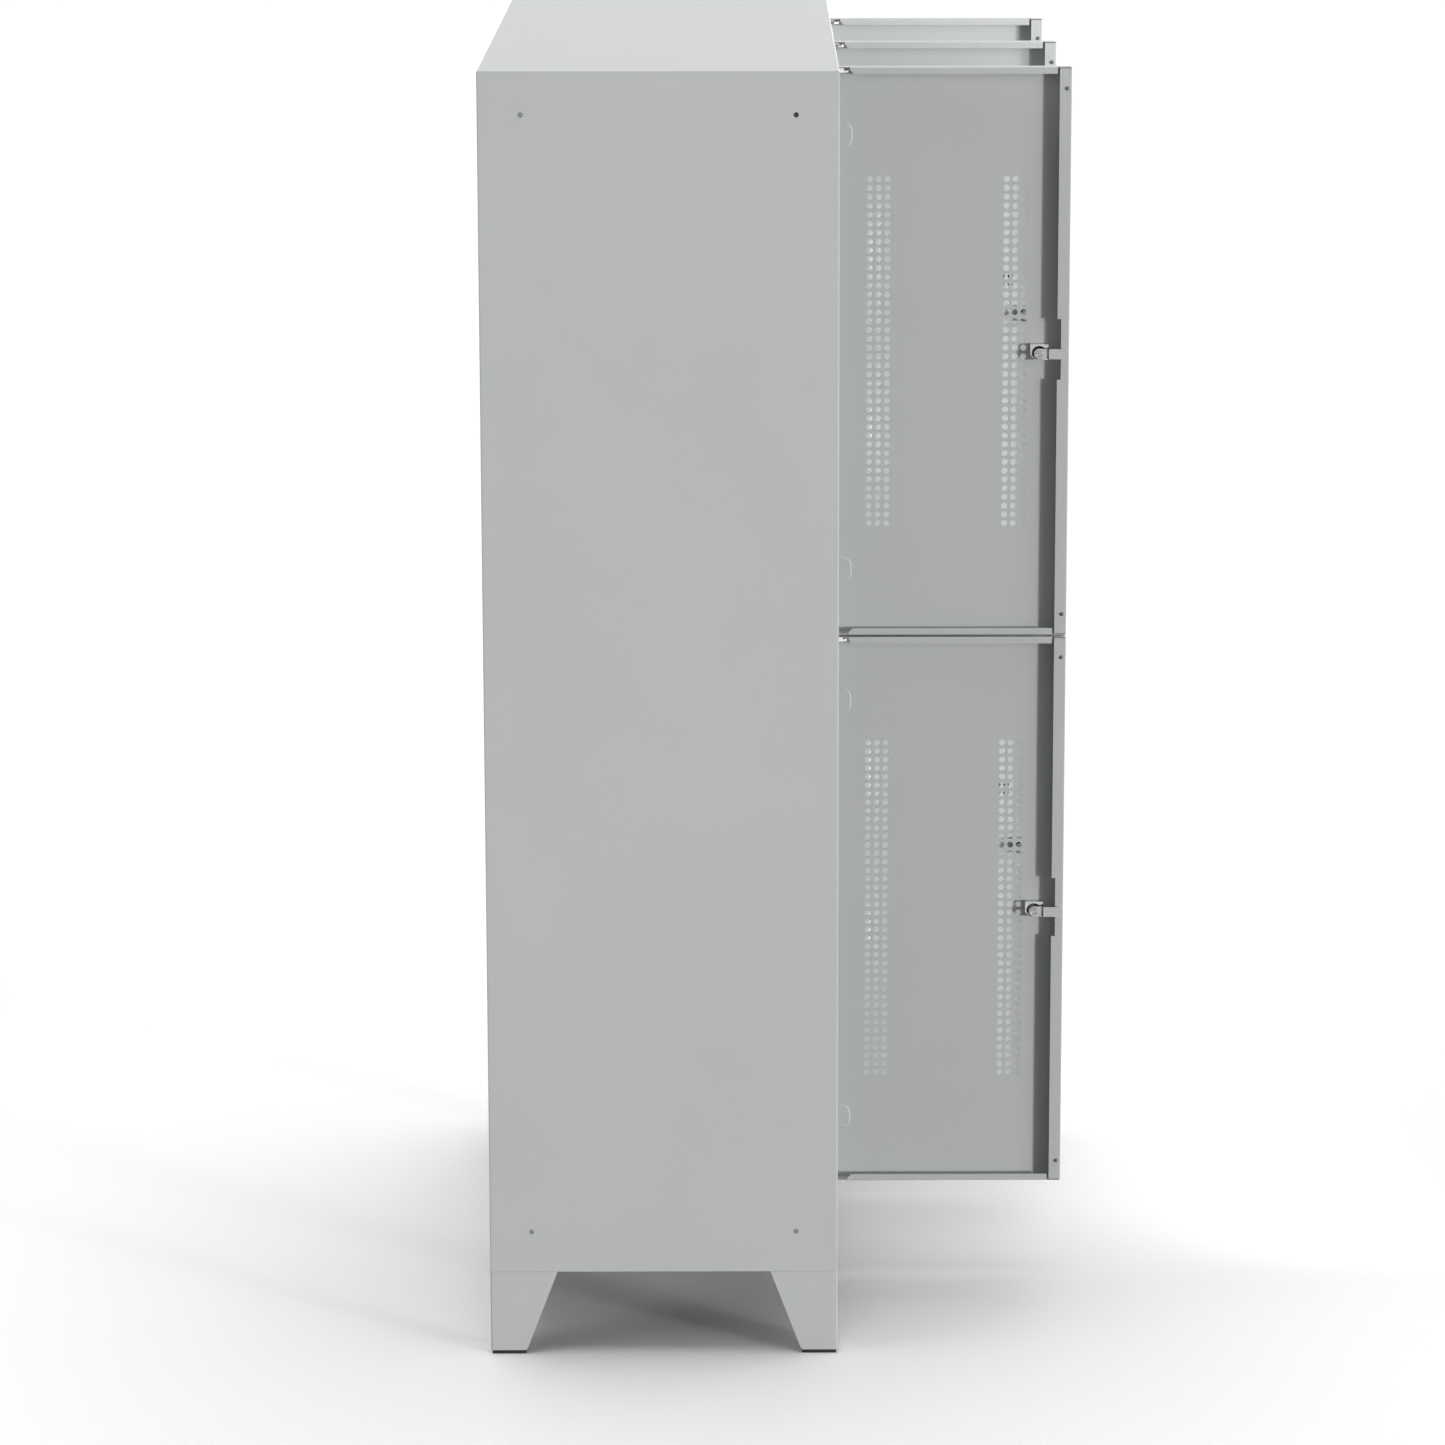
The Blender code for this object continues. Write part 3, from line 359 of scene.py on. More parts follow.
def rounded_outline(low, high, radii, steps, stops=((), (), (), ())):
    """Points round a rectangle with rounded corners, against the clock from its lower left: a corner is
    its arc's centre plus its radius times the outward direction, and a side also has a point at each of
    its stops. Gives the points, the outward directions and the share of the way round."""
    (x0, y0), (x1, y1) = low, high
    corners = np.array([(x0, y0), (x1, y0), (x1, y1), (x0, y1)], float)
    points, normals = [], []
    for side in range(4):
        out = unit_circle((side - 1) / 4).round(12)
        along = np.array([-out[1], out[0]])
        start = corners[side] + along * radii[side]
        end = corners[(side + 1) % 4] - along * radii[(side + 1) % 4]
        marks = np.abs(np.asarray(stops[side]) - start[side % 2])
        far = np.sort([0, *marks, abs((end - start) @ along)])
        points.append(start + along * far[:, None])
        normals.append(np.repeat(out[None], len(far), axis=0))
        arc = unit_circle((side - 1 + np.arange(1, steps) / steps) / 4)
        radius = radii[(side + 1) % 4]
        points.append(end - out * radius + arc * radius)
        normals.append(arc)
    points, normals = np.concatenate(points), np.concatenate(normals)
    gaps = np.linalg.norm(np.roll(points, -1, axis=0) - points, axis=1)
    return points, normals, np.concatenate([[0], np.cumsum(gaps)[:-1]]) / gaps.sum()


def quarter(radius, steps):
    """Run and rise of a quarter bend that starts level and ends upright, both from zero to the radius."""
    turn = np.linspace(0, math.pi / 2, steps + 1)
    return radius * np.sin(turn), radius * (1 - np.cos(turn))


def joined_rings(rings):
    """Rings of points joined in order, with a flat cap on the first and on the last."""
    rings = np.asarray(rings, float)
    surface, faces = grid(rings, closed=True)
    count = rings.shape[1]
    return surface, [*faces, np.arange(count) + [[0], [len(surface) - count]]]


def unit_circle(turns):
    """Points on a circle of radius one, at their shares of a turn from the first axis."""
    angle = np.asarray(turns) * 2 * math.pi
    return np.stack([np.cos(angle), np.sin(angle)], axis=-1)


def even_turns(steps, start=0.5):
    """Shares of a full turn in even steps, the first one that part of a step past the first axis."""
    return (np.arange(steps) + start) / steps


def level_ring(turns, radius, level, centre=(0, 0)):
    """Points round a centre at their shares of a turn, all at one level."""
    return flat_points(radius * unit_circle(turns) + centre, level)


def turned(profile, steps, centre=(0, 0)):
    """A surface of revolution: a ring of the profile's radius at each of its levels."""
    turns = even_turns(steps)
    return joined_rings([level_ring(turns, radius, level, centre) for radius, level in profile])


def rounded_profile(corners, radius, steps=EDGE_STEPS):
    """A chain of profile points with its inner corners rounded: each becomes a curve whose control
    points are the corner and two points so far before and after it."""
    corners = np.array(corners, float)
    share = np.linspace(0, 1, steps + 1)[:, None]
    chain = [corners[:1]]
    for before, corner, after in zip(corners, corners[1:], corners[2:]):
        run_in, run_out = before - corner, after - corner
        size_in, size_out = np.linalg.norm(run_in), np.linalg.norm(run_out)
        reach = min(radius, size_in / 2, size_out / 2)
        start, end = corner + run_in / size_in * reach, corner + run_out / size_out * reach
        chain.append((1 - share) ** 2 * start + 2 * share * (1 - share) * corner + share ** 2 * end)
    return np.concatenate([*chain, corners[-1:]])


def rounded_loop(corners, radius, steps=EDGE_STEPS):
    """A closed outline with rounded corners, from the middle of the side before the first corner."""
    corners = np.array(corners, float)
    middle = (corners[-1] + corners[0]) / 2
    return rounded_profile([middle, *corners, middle], radius, steps)[:-1]


def moved_in(outline, amount):
    """A closed outline moved inward, square to the line between each point's two neighbours."""
    along = np.roll(outline, -1, axis=0) - np.roll(outline, 1, axis=0)
    along /= np.linalg.norm(along, axis=1)[:, None]
    after = np.roll(outline, -1, axis=0)
    turns_left = np.sum(outline[:, 0] * after[:, 1] - outline[:, 1] * after[:, 0]) > 0
    inward = np.stack([-along[:, 1], along[:, 0]], axis=1) * (1 if turns_left else -1)
    return outline + inward * amount


def stacked(outline, profile):
    """Rings above each other: each is the outline moved inward by the profile's first number, at the
    level of its second."""
    return [flat_points(moved_in(outline, inward), level) for inward, level in profile]


def soft_ends(low, high, radius, steps=EDGE_STEPS):
    """A profile for stacked rings from low to high, drawn in at both ends on a quarter round."""
    turn = np.linspace(0, math.pi / 2, steps + 1)
    inward, rise = radius * (1 - np.sin(turn)), radius * (1 - np.cos(turn))
    below = list(zip(inward, low + rise))
    return below + [(amount, low + high - level) for amount, level in reversed(below)]


def by_turn(outline, centre):
    """A closed outline in the order of its turn round a centre inside it."""
    return outline[np.argsort(turn_shares(outline, centre))]


def held_within(points, outline, centre, margin):
    """Points drawn in towards a centre where they come nearer than a margin to a closed outline round
    it: the line from the centre through a point meets an edge at a distance got by cross products."""
    cross = lambda p, q: p[..., 0] * q[..., 1] - p[..., 1] * q[..., 0]
    away = points - centre
    size = np.linalg.norm(away, axis=-1, keepdims=True)
    ray = (away / size)[..., None, :]
    start, edge = outline - centre, np.roll(outline, -1, axis=0) - outline
    scale = cross(ray, edge)
    far, share = cross(start, edge) / scale, cross(start, ray) / scale
    meets = (share >= 0) & (share <= 1) & (far > 0)
    limit = np.where(meets, far, np.inf).min(axis=-1, keepdims=True) - margin
    return centre + away * np.minimum(1, limit / size)


def pierced_face(outline, hole, centre):
    """The face between an outline and a round hole in it, both rings in the order of their turn round
    the hole's centre."""
    faces = bridge(turn_shares(outline[:, :2], centre), turn_shares(hole[:, :2], centre))
    return patch(np.concatenate([outline, hole]), faces)


def new_mesh(name, patches, facing=None):
    """Join patches into one mesh, merged where they meet. A closed mesh faces outward, and an open one
    so that its faces look along facing on the whole."""
    faces, start = [], 0
    for points, groups in patches:
        for group in groups:
            faces += (group + start).tolist()
        start += len(points)
    mesh = bpy.data.meshes.new(name)
    mesh.from_pydata(np.concatenate([points for points, _ in patches]), [], faces)
    shape = bmesh.new()
    shape.from_mesh(mesh)
    bmesh.ops.remove_doubles(shape, verts=shape.verts, dist=MERGE_DISTANCE)
    bmesh.ops.dissolve_degenerate(shape, edges=shape.edges, dist=MERGE_DISTANCE)
    bmesh.ops.recalc_face_normals(shape, faces=shape.faces)
    if facing is None:
        inside_out = shape.calc_volume(signed=True) < 0
    else:
        looks = sum((face.normal * face.calc_area() for face in shape.faces), Vector())
        inside_out = looks.dot(Vector(facing)) < 0
    if inside_out:
        bmesh.ops.reverse_faces(shape, faces=shape.faces)
    shape.to_mesh(mesh)
    shape.free()
    return mesh


def add_piece(title, patches, finish, body, stands_for=(), sheet=None, facing=None):
    """Make a piece of the object from its patches, which get a sheet's thickness if there is one, and
    let it ride on its body."""
    mesh = new_mesh(title, patches, facing)
    if sheet:
        mesh = thicken(mesh, sheet)
    piece = bpy.data.objects.new(title, mesh)
    bpy.context.scene.collection.objects.link(piece)
    mesh.materials.append(finish_of(finish))
    mesh.shade_smooth()
    mesh.set_sharp_from_angle(angle=SHARP_ANGLE)
    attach(piece, body)
    if stands_for:
        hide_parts(*stands_for)
    return piece


def thicken(mesh, thickness):
    """Give an open sheet its thickness on the side away from its normals."""
    holder = bpy.data.objects.new("holder", mesh)
    bpy.context.scene.collection.objects.link(holder)
    step = holder.modifiers.new("thickness", "SOLIDIFY")
    step.thickness = thickness
    step.offset = -1
    depsgraph = bpy.context.evaluated_depsgraph_get()
    result = bpy.data.meshes.new_from_object(holder.evaluated_get(depsgraph))
    bpy.data.objects.remove(holder)
    return result


def soften(piece, width):
    """Break a solid piece's sharp edges with a small round, and keep its flats flat."""
    bevel = piece.modifiers.new("broken edges", "BEVEL")
    bevel.width = width
    bevel.segments = BEVEL_SEGMENTS
    bevel.limit_method = "ANGLE"
    bevel.angle_limit = BEVEL_ANGLE
    flat_faces(piece)


def flat_faces(piece):
    """Let large faces rule the shading next to small bends."""
    step = piece.modifiers.new("flat faces", "WEIGHTED_NORMAL")
    step.keep_sharp = True


def add_node(tree, kind, settings=(), **links):
    """Add a shader node, set its properties and inputs, and feed inputs from other nodes' outputs."""
    node = tree.nodes.new("ShaderNode" + kind)
    for key, value in dict(settings).items():
        if isinstance(key, str) and hasattr(node, key):
            setattr(node, key, value)
        else:
            node.inputs[key].default_value = value
    for key, output in links.items():
        tree.links.new(output, node.inputs[key.replace("_", " ")])
    return node


def new_finish(
    name, tone, metallic, cloud, dark, gloss, grain, relief, strength, detail=1.0, specular=0.5,
):
    """A material over two noises in the object's own space, their sizes in metres. The slow one, of the
    size cloud, draws the colour down to its share dark and runs the roughness over gloss. The fine one,
    of the size grain, lifts the surface by relief."""
    material = bpy.data.materials.new(name)
    material.use_nodes = True
    tree = material.node_tree
    shader = tree.nodes["Principled BSDF"]
    shader.inputs["Metallic"].default_value = metallic
    shader.inputs["Specular IOR Level"].default_value = specular
    place = add_node(tree, "TexCoord").outputs["Object"]
    slow = add_node(tree, "TexNoise", {"Scale": 1 / cloud, "Detail": CLOUD_DETAIL}, Vector=place)
    shade = add_node(tree, "ValToRGB", Fac=slow.outputs["Fac"])
    for stop, position, share in zip(shade.color_ramp.elements, (NOISE_LOW, NOISE_HIGH), (dark, 1)):
        stop.position = position
        stop.color = (*(part * share for part in tone), 1)
    low, high = gloss
    spans = {"From Min": NOISE_LOW, "From Max": NOISE_HIGH, "To Min": low, "To Max": high}
    rough = add_node(tree, "MapRange", spans, Value=slow.outputs["Fac"])
    fine = add_node(tree, "TexNoise", {"Scale": 1 / grain, "Detail": detail}, Vector=place)
    bump = add_node(tree, "Bump", {"Strength": strength, "Distance": relief}, Height=fine.outputs["Fac"])
    tree.links.new(shade.outputs["Color"], shader.inputs["Base Color"])
    tree.links.new(rough.outputs["Result"], shader.inputs["Roughness"])
    tree.links.new(bump.outputs["Normal"], shader.inputs["Normal"])
    return material


def powder_coated_steel(colours):
    """Polyester powder, sprayed and baked: a satin skin with a fine orange peel of about 2 mm, drawn a
    little wider than real so that it shows, over faint changes of tone where the film is thicker."""
    return new_finish(
        "powder_coated_steel", colours.paint, 0, cloud=0.22, dark=0.975, gloss=(0.52, 0.60),
        grain=0.0024, relief=0.00002, strength=0.30, detail=2.0, specular=0.3,
    )


def bright_zinc_plate(colours):
    """Steel, plated with bright zinc: grey metal with a slightly cloudy gloss and a grain of 1 mm."""
    return new_finish(
        "bright_zinc_plate", colours.zinc, 1, cloud=0.006, dark=0.90, gloss=(0.26, 0.38),
        grain=0.0011, relief=0.00001, strength=0.35, detail=2.0,
    )


def chrome_plated_casting(colours):
    """Zinc die casting, polished and chrome plated: a mirror with the soft waves of the cast skin."""
    return new_finish(
        "chrome_plated_casting", colours.chrome, 1, cloud=0.008, dark=0.93, gloss=(0.08, 0.16),
        grain=0.0030, relief=0.00002, strength=0.25,
    )


def moulded_black_plastic(colours):
    """Moulded polyamide with an eroded mould's fine matt grain of about 0.5 mm."""
    return new_finish(
        "moulded_black_plastic", colours.black_plastic, 0, cloud=0.010, dark=0.80, gloss=(0.45, 0.60),
        grain=0.0005, relief=0.00003, strength=0.40,
    )


def moulded_grey_plastic(colours):
    """Moulded polyethylene plugs: smooth, slightly waxy grey."""
    return new_finish(
        "moulded_grey_plastic", colours.plug, 0, cloud=0.004, dark=0.92, gloss=(0.34, 0.46),
        grain=0.0008, relief=0.00002, strength=0.30,
    )


def soft_grey_vinyl(colours):
    """Moulded soft vinyl of the buffers: dark grey and glossy, with faint flow marks of about 2 mm."""
    return new_finish(
        "soft_grey_vinyl", colours.buffer, 0, cloud=0.002, dark=0.88, gloss=(0.16, 0.24),
        grain=0.002, relief=0.00002, strength=0.20,
    )


def polished_nickel_plate(colours):
    """Metal of the hinge bars, a brighter copy of the zinc plate of the other hardware so that its
    reflection of the white backdrop shows as a white painted highlight: a bright mirror over faint waves.
    """
    return new_finish(
        "polished_nickel_plate", colours.nickel, 1, cloud=0.005, dark=0.94, gloss=(0.12, 0.20),
        grain=0.0015, relief=0.00001, strength=0.20,
    )


FINISHES = {
    "grey_painted_steel": powder_coated_steel,
    "zinc_plated_steel": bright_zinc_plate,
    "chrome_plated_zinc": chrome_plated_casting,
    "black_plastic": moulded_black_plastic,
    "grey_plastic": moulded_grey_plastic,
    "soft_plastic": soft_grey_vinyl,
    "nickel_plated_steel": polished_nickel_plate,
}


def finish_of(key):
    """The material of a finish, made once."""
    maker = FINISHES[key]
    return bpy.data.materials.get(maker.__name__) or maker(bpy.context.scene.locker_finishes)


def door_place(name):
    """A function from s, z and d to the world: s runs from the door's free edge to its hinge edge, z up
    from its bottom edge and d inward from its outer face."""
    low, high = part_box("door_" + name)
    return lambda s, z, d: np.stack([high.x - d, low.y + s, low.z + z], axis=-1)


def lock_axis():
    """The s and z of the lock's axis on a door."""
    joint = next(j for j in frame["joints"] if j["name"] == DOORS[0] + "_cam_turn")
    return joint["pos_m"][1] - DOOR_LOW.y, joint["pos_m"][2] - DOOR_LOW.z


def hinge_inset():
    """From a door's hinge edge to its pivot line, and from its outer face to it."""
    joint = next(j for j in frame["joints"] if j["name"] == DOORS[0] + "_door_hinge")
    return DOOR_HIGH.y - joint["pos_m"][1], DOOR_HIGH.x - joint["pos_m"][0]


def flat_points(points, depth=0.0):
    """Points s, z with a depth added, in the order s, z, d: one for all, or an array that stretches over
    them."""
    points = np.asarray(points, float)
    return np.concatenate([points, np.full((*points.shape[:-1], 1), depth)], axis=-1)


def in_block(s_lines, z_lines, block):
    """Which cells of a grid of lines lie inside a block given by its low and high corner."""
    (s0, z0), (s1, z1) = block
    s_mid, z_mid = (s_lines[:-1] + s_lines[1:]) / 2, (z_lines[:-1] + z_lines[1:]) / 2
    return ((s_mid > s0) & (s_mid < s1))[:, None] & ((z_mid > z0) & (z_mid < z1))[None]


def block_border(s_lines, z_lines, block):
    """The grid's points round a block, sorted by their turn round its middle."""
    (s0, z0), (s1, z1) = block
    near = MERGE_DISTANCE
    across = s_lines[(s_lines > s0 - near) & (s_lines < s1 + near)]
    up = z_lines[(z_lines > z0 - near) & (z_lines < z1 + near)]
    s, z = np.meshgrid(across, up, indexing="ij")
    rim = np.pad(np.zeros((len(across) - 2, len(up) - 2), bool), 1, constant_values=True)
    around = np.stack([s[rim], z[rim]], axis=-1)
    order = np.argsort(turn_shares(around, ((s0 + s1) / 2, (z0 + z1) / 2)))
    return around[order]


def perforation(sizes):
    """Middles of the holes: two groups side by side, each of some columns and rows at one pitch, set
    evenly about the door's middle."""
    columns = (np.arange(sizes.hole_columns) - (sizes.hole_columns - 1) / 2) * sizes.pitch
    rows = (np.arange(sizes.hole_rows) - (sizes.hole_rows - 1) / 2) * sizes.pitch
    groups = DOOR_WIDTH / 2 + np.array([-1, 1]) * sizes.group_offset
    return (groups[:, None] + columns).ravel(), DOOR_HEIGHT / 2 + rows


def perforated_field(sizes):
    """The cells of the perforation: a square round each middle plus a circle of the hole's radius, with
    triangles from the circle to the square's corners, the same for every cell."""
    s_mids, z_mids = perforation(sizes)
    middles = np.stack(np.meshgrid(s_mids, z_mids, indexing="ij"), axis=-1).reshape(-1, 1, 2)
    corner_turn, ring_turn = even_turns(4), even_turns(HOLE_SIDES, 0)
    corners = unit_circle(corner_turn) * sizes.pitch / math.sqrt(2)
    cell = np.concatenate([corners, unit_circle(ring_turn) * sizes.hole / 2])
    faces = bridge(corner_turn, ring_turn)
    starts = np.arange(len(middles))[:, None, None] * len(cell)
    return patch(flat_points(middles + cell), (faces + starts).reshape(-1, 3))


def lock_hole(border, centre, radius):
    """The sheet round the lock's barrel: triangles from a block's border to a circle about the lock's
    axis."""
    turns = even_turns(SMALL_SIDES, 0.25)
    points = flat_points(np.concatenate([border, centre + radius * unit_circle(turns)]))
    return patch(points, bridge(turn_shares(border, centre), turns))


def embossed_pad(sizes, border, centre):
    """A pad pressed inward: rings of its rounded outline, drawn in step by step while the depth follows
    a half wave from zero to the full depth, and a flat middle."""
    half = np.array([sizes.pad_size / 2] * 2)
    outline, normals, _ = rounded_outline(centre - half, centre + half, [sizes.pad_radius] * 4, BEND_STEPS)
    wave = np.linspace(0, math.pi, BEND_STEPS)
    drawn_in = sizes.pad_slope * wave / math.pi
    depth = sizes.pad_depth * (1 - np.cos(wave)) / 2
    flat = outline[None] - normals[None] * drawn_in[:, None, None]
    surface, faces = grid(flat_points(flat, depth[:, None, None]), closed=True)
    cap = np.arange(len(surface) - len(outline), len(surface))[None]
    order = np.argsort(turn_shares(outline, centre))
    collar = patch(
        flat_points(np.concatenate([border, outline[order]])),
        bridge(turn_shares(border, centre), turn_shares(outline, centre)[order]),
    )
    return [(surface, [*faces, cap]), collar]


def return_lip(sizes, corner, along, inward, stations, widths, keep=None, slanted=False):
    """A lip folded over from a flange: stations along the edge, and at each the quarter bend and then
    the widths across. slanted draws the far corner of the last station back to a slant."""
    run, rise = quarter(sizes.lip_radius, LIP_STEPS)
    across = np.concatenate([rise, widths])
    depth = np.concatenate([DOOR_DEPTH - sizes.lip_radius + run, np.full(len(widths), DOOR_DEPTH)])
    stations = np.asarray(stations, float)
    offset = np.repeat(across[None], len(stations), axis=0)
    if slanted:
        offset[-1, -1] = offset[-1, -2]
    corner, along, inward = np.array([corner, along, inward])
    flat = corner + stations[:, None, None] * along + offset[..., None] * inward
    return grid(flat_points(flat, depth[None, :, None]), keep=keep)


def door_surface(sizes):
    """The outer surface of the folded and perforated door as patches in s, z, d: a plate of grid cells
    with its holes and pads, a rounded rim that runs down into the flange, and the return lips."""
    width, height, depth = DOOR_WIDTH, DOOR_HEIGHT, DOOR_DEPTH
    radius, lip_radius, pitch = sizes.edge_radius, sizes.lip_radius, sizes.pitch
    locks, lock = bpy.context.scene.locker_locks, np.array(lock_axis())
    s_mids, z_mids = perforation(sizes)
    lock_block = (lock - pitch, lock + pitch)
    pad_s = width - sizes.pad_inset - sizes.pad_size / 2
    reach = sizes.pad_size / 2 + sizes.pad_margin
    pads = [np.array([pad_s, z]) for z in (sizes.pad_above_bottom, height - sizes.pad_below_top)]
    pad_blocks = [(pad - reach, pad + reach) for pad in pads]
    group_edges = np.concatenate([s_mids - pitch / 2, s_mids + pitch / 2])
    s_lines = np.unique(np.concatenate([
        [radius, width - radius], group_edges, [corner[0] for corner in (*lock_block, *pad_blocks[0])],
    ]).round(7))
    z_lines = np.unique(np.concatenate([
        [radius, height - radius], z_mids - pitch / 2, z_mids + pitch / 2,
        [corner[1] for block in pad_blocks for corner in block],
    ]).round(7))
    taken = in_block(s_lines, z_lines, lock_block)
    for block in pad_blocks:
        taken |= in_block(s_lines, z_lines, block)
    field = (z_mids[0] - pitch / 2, z_mids[-1] + pitch / 2)
    for group in (s_mids[:sizes.hole_columns], s_mids[sizes.hole_columns:]):
        low, high = (group[0] - pitch / 2, field[0]), (group[-1] + pitch / 2, field[1])
        taken |= in_block(s_lines, z_lines, (low, high))
    s, z = np.meshgrid(s_lines, z_lines, indexing="ij")
    patches = [
        grid(np.stack([s, z, np.zeros_like(s)], axis=-1), keep=~taken),
        perforated_field(sizes),
        lock_hole(block_border(s_lines, z_lines, lock_block), lock, locks.barrel_radius + locks.gap),
    ]
    for pad, block in zip(pads, pad_blocks):
        patches += embossed_pad(sizes, block_border(s_lines, z_lines, block), pad)
    chamfer_start = width - sizes.notch_length - sizes.notch_chamfer
    end_stations = [sizes.free_lip + sizes.lip_gap, chamfer_start, width - sizes.notch_length]
    flange_end = [sizes.free_lip, *end_stations]
    hinge_stations = [sizes.notch_height, height - sizes.notch_height]
    notch = [lock[1] - sizes.lock_notch_below, lock[1] + sizes.lock_notch_above]
    upper_stops, lower_stops = (s_lines, z_lines) * 2, (flange_end, hinge_stations, flange_end, notch)
    plate = (0, 0), (width, height), [radius] * 4, BEND_STEPS
    upper, normals, upper_share = rounded_outline(*plate, upper_stops)
    lower, _, lower_share = rounded_outline(*plate, lower_stops)
    run, rise = quarter(radius, BEND_STEPS)
    flat = upper[None] + normals[None] * (run - radius)[:, None, None]
    patches.append(grid(flat_points(flat, rise[:, None, None]), closed=True))
    flange = np.concatenate([flat_points(upper, radius), flat_points(lower, depth - lip_radius)])
    patches.append(patch(flange, bridge(upper_share, lower_share)))
    end_widths = [sizes.end_lip - sizes.notch_chamfer, sizes.end_lip]
    for edge, inward in ((0, 1), (height, -1)):
        patches.append(return_lip(
            sizes, (0, edge), (1, 0), (0, inward), end_stations, end_widths, slanted=True,
        ))
        levels = (depth - lip_radius, depth)
        patches.append(grid(np.array([[(s, edge, d) for d in levels] for s in (radius, sizes.free_lip)])))
    patches.append(return_lip(sizes, (width, 0), (0, 1), (-1, 0), hinge_stations, [sizes.hinge_lip]))
    free_stations = [radius, *notch, height - radius]
    free_widths = [sizes.free_lip - sizes.lock_notch_depth, sizes.free_lip]
    keep = np.ones((len(free_stations) - 1, LIP_STEPS + len(free_widths)), bool)
    keep[1, -1] = False
    patches.append(return_lip(sizes, (0, 0), (0, 1), (1, 0), free_stations, free_widths, keep=keep))
    return patches


def placed(patches, place):
    """Patches in a piece's own three numbers, put into the world."""
    return [(place(*points.T), faces) for points, faces in patches]


def lock_case(sizes):
    """The lock's case as one surface: a cast body with a cut corner and a round well behind the sheet,
    the barrel that ends over it, the bore of the core and the collar on the door's outer face."""
    lock = np.array(lock_axis())
    side, cut = sizes.case_width / 2, sizes.case_chamfer
    bottom, top = -sizes.case_below, sizes.case_above
    corners = [(-side, bottom), (side - cut, bottom), (side, bottom + cut), (side, top), (-side, top)]
    outline = by_turn(rounded_loop(corners, sizes.case_corner) + lock, lock)
    low = bpy.context.scene.locker_doors.sheet + sizes.gap
    body = stacked(outline, soft_ends(low, low + sizes.case_depth, sizes.case_round))
    bore, end = sizes.core_radius + sizes.gap, sizes.barrel_length
    front = -sizes.gap - sizes.collar_depth
    face = low + sizes.case_depth
    well = face - sizes.well_depth
    boss = rounded_profile([
        (sizes.well_radius, face), (sizes.well_radius, face - sizes.well_lead),
        (sizes.seat_radius, well), (sizes.seat_radius, end), (bore, end), (bore, front),
        (sizes.collar_radius, front), (sizes.collar_radius, -sizes.gap), (sizes.barrel_radius, -sizes.gap),
        (sizes.barrel_radius, low),
    ], sizes.turned_round)
    turns = even_turns(BARREL_SIDES)
    rings = np.array([level_ring(turns, radius, level, lock) for radius, level in boss])
    behind = rings[:, 0, 2] > low
    rings[behind, :, :2] = held_within(rings[behind, :, :2], body[0][:, :2], lock, sizes.well_wall)
    return [
        grid(np.array(body), closed=True), grid(rings, closed=True),
        pierced_face(body[-1], rings[0], lock), pierced_face(body[0], rings[-1], lock),
    ]


def lock_core(sizes):
    """The turning core: from the bottom of the key slot up to the collar's face, out to the core's
    rounded edge and inward to the cam."""
    lock = np.array(lock_axis())
    half = np.array([sizes.slot_width, sizes.slot_length]) / 2
    marks = np.linspace(lock[1] - half[1], lock[1] + half[1], SLOT_STEPS + 1)[2:-2]
    slot, _, share = rounded_outline(
        lock - half, lock + half, [sizes.slot_corner] * 4, EDGE_STEPS, ((), marks, (), marks),
    )
    turns = turn_shares(slot[:1], lock) + share
    face = -sizes.gap - sizes.collar_depth
    radius, end = sizes.core_radius, sizes.barrel_length + sizes.core_past
    edge = rounded_profile([(sizes.core_face, face), (radius, face), (radius, 0)], sizes.core_round)
    rings = [flat_points(slot, face + sizes.slot_depth), flat_points(slot, face)]
    rings += [level_ring(turns, *place, lock) for place in (*edge, (radius, end))]
    return [joined_rings(rings)]


def cam_plate(sizes):
    """The cam's inner face: its half width follows a half circle at both ends, and its depth follows
    the joggled side view."""
    half, reach = sizes.cam_width / 2, sizes.cam_reach
    near = sizes.barrel_length + sizes.gap + sizes.cam_sheet
    far, step = near + sizes.cam_joggle, sizes.cam_bend + sizes.cam_run
    side = rounded_profile(
        [(-half, near), (sizes.cam_bend, near), (step, far), (reach, far)], sizes.cam_round, JOGGLE_STEPS,
    )
    turn = np.linspace(0, math.pi / 2, END_STEPS + 1)
    ends = np.concatenate([-half * np.cos(turn), reach - half + half * np.sin(turn)])
    along = np.unique(np.concatenate([ends, side[1:-1, 0]]).round(8))
    past = np.maximum(np.maximum(-along, along - (reach - half)), 0)
    width = np.sqrt(np.maximum(half ** 2 - past ** 2, 0))
    across = np.linspace(-1, 1, END_STEPS + 1)[None] * width[:, None]
    lock_s, lock_z = lock_axis()
    depth = np.interp(along, side[:, 0], side[:, 1])
    flat = np.broadcast_to(along[:, None], across.shape)
    face = np.stack([lock_s - flat, lock_z + across], axis=-1)
    return [grid(flat_points(face, depth[:, None, None]))]


def cam_screw(sizes):
    """The screw on the cam: a rounded profile with a recess between two radii, turned about the lock's
    axis."""
    base = sizes.barrel_length + sizes.gap + sizes.cam_sheet + sizes.screw_lift
    top, radius = base + sizes.screw_height, sizes.screw_radius
    floor, outer, inner = top - sizes.recess_depth, sizes.recess_outer, sizes.recess_inner
    profile = rounded_profile([
        (0, base), (radius, base), (radius, top), (outer, top), (outer - sizes.recess_taper, floor),
        (inner + sizes.recess_taper, floor), (inner, top), (0, top),
    ], sizes.turned_round)
    return [turned(profile, SMALL_SIDES, lock_axis())]


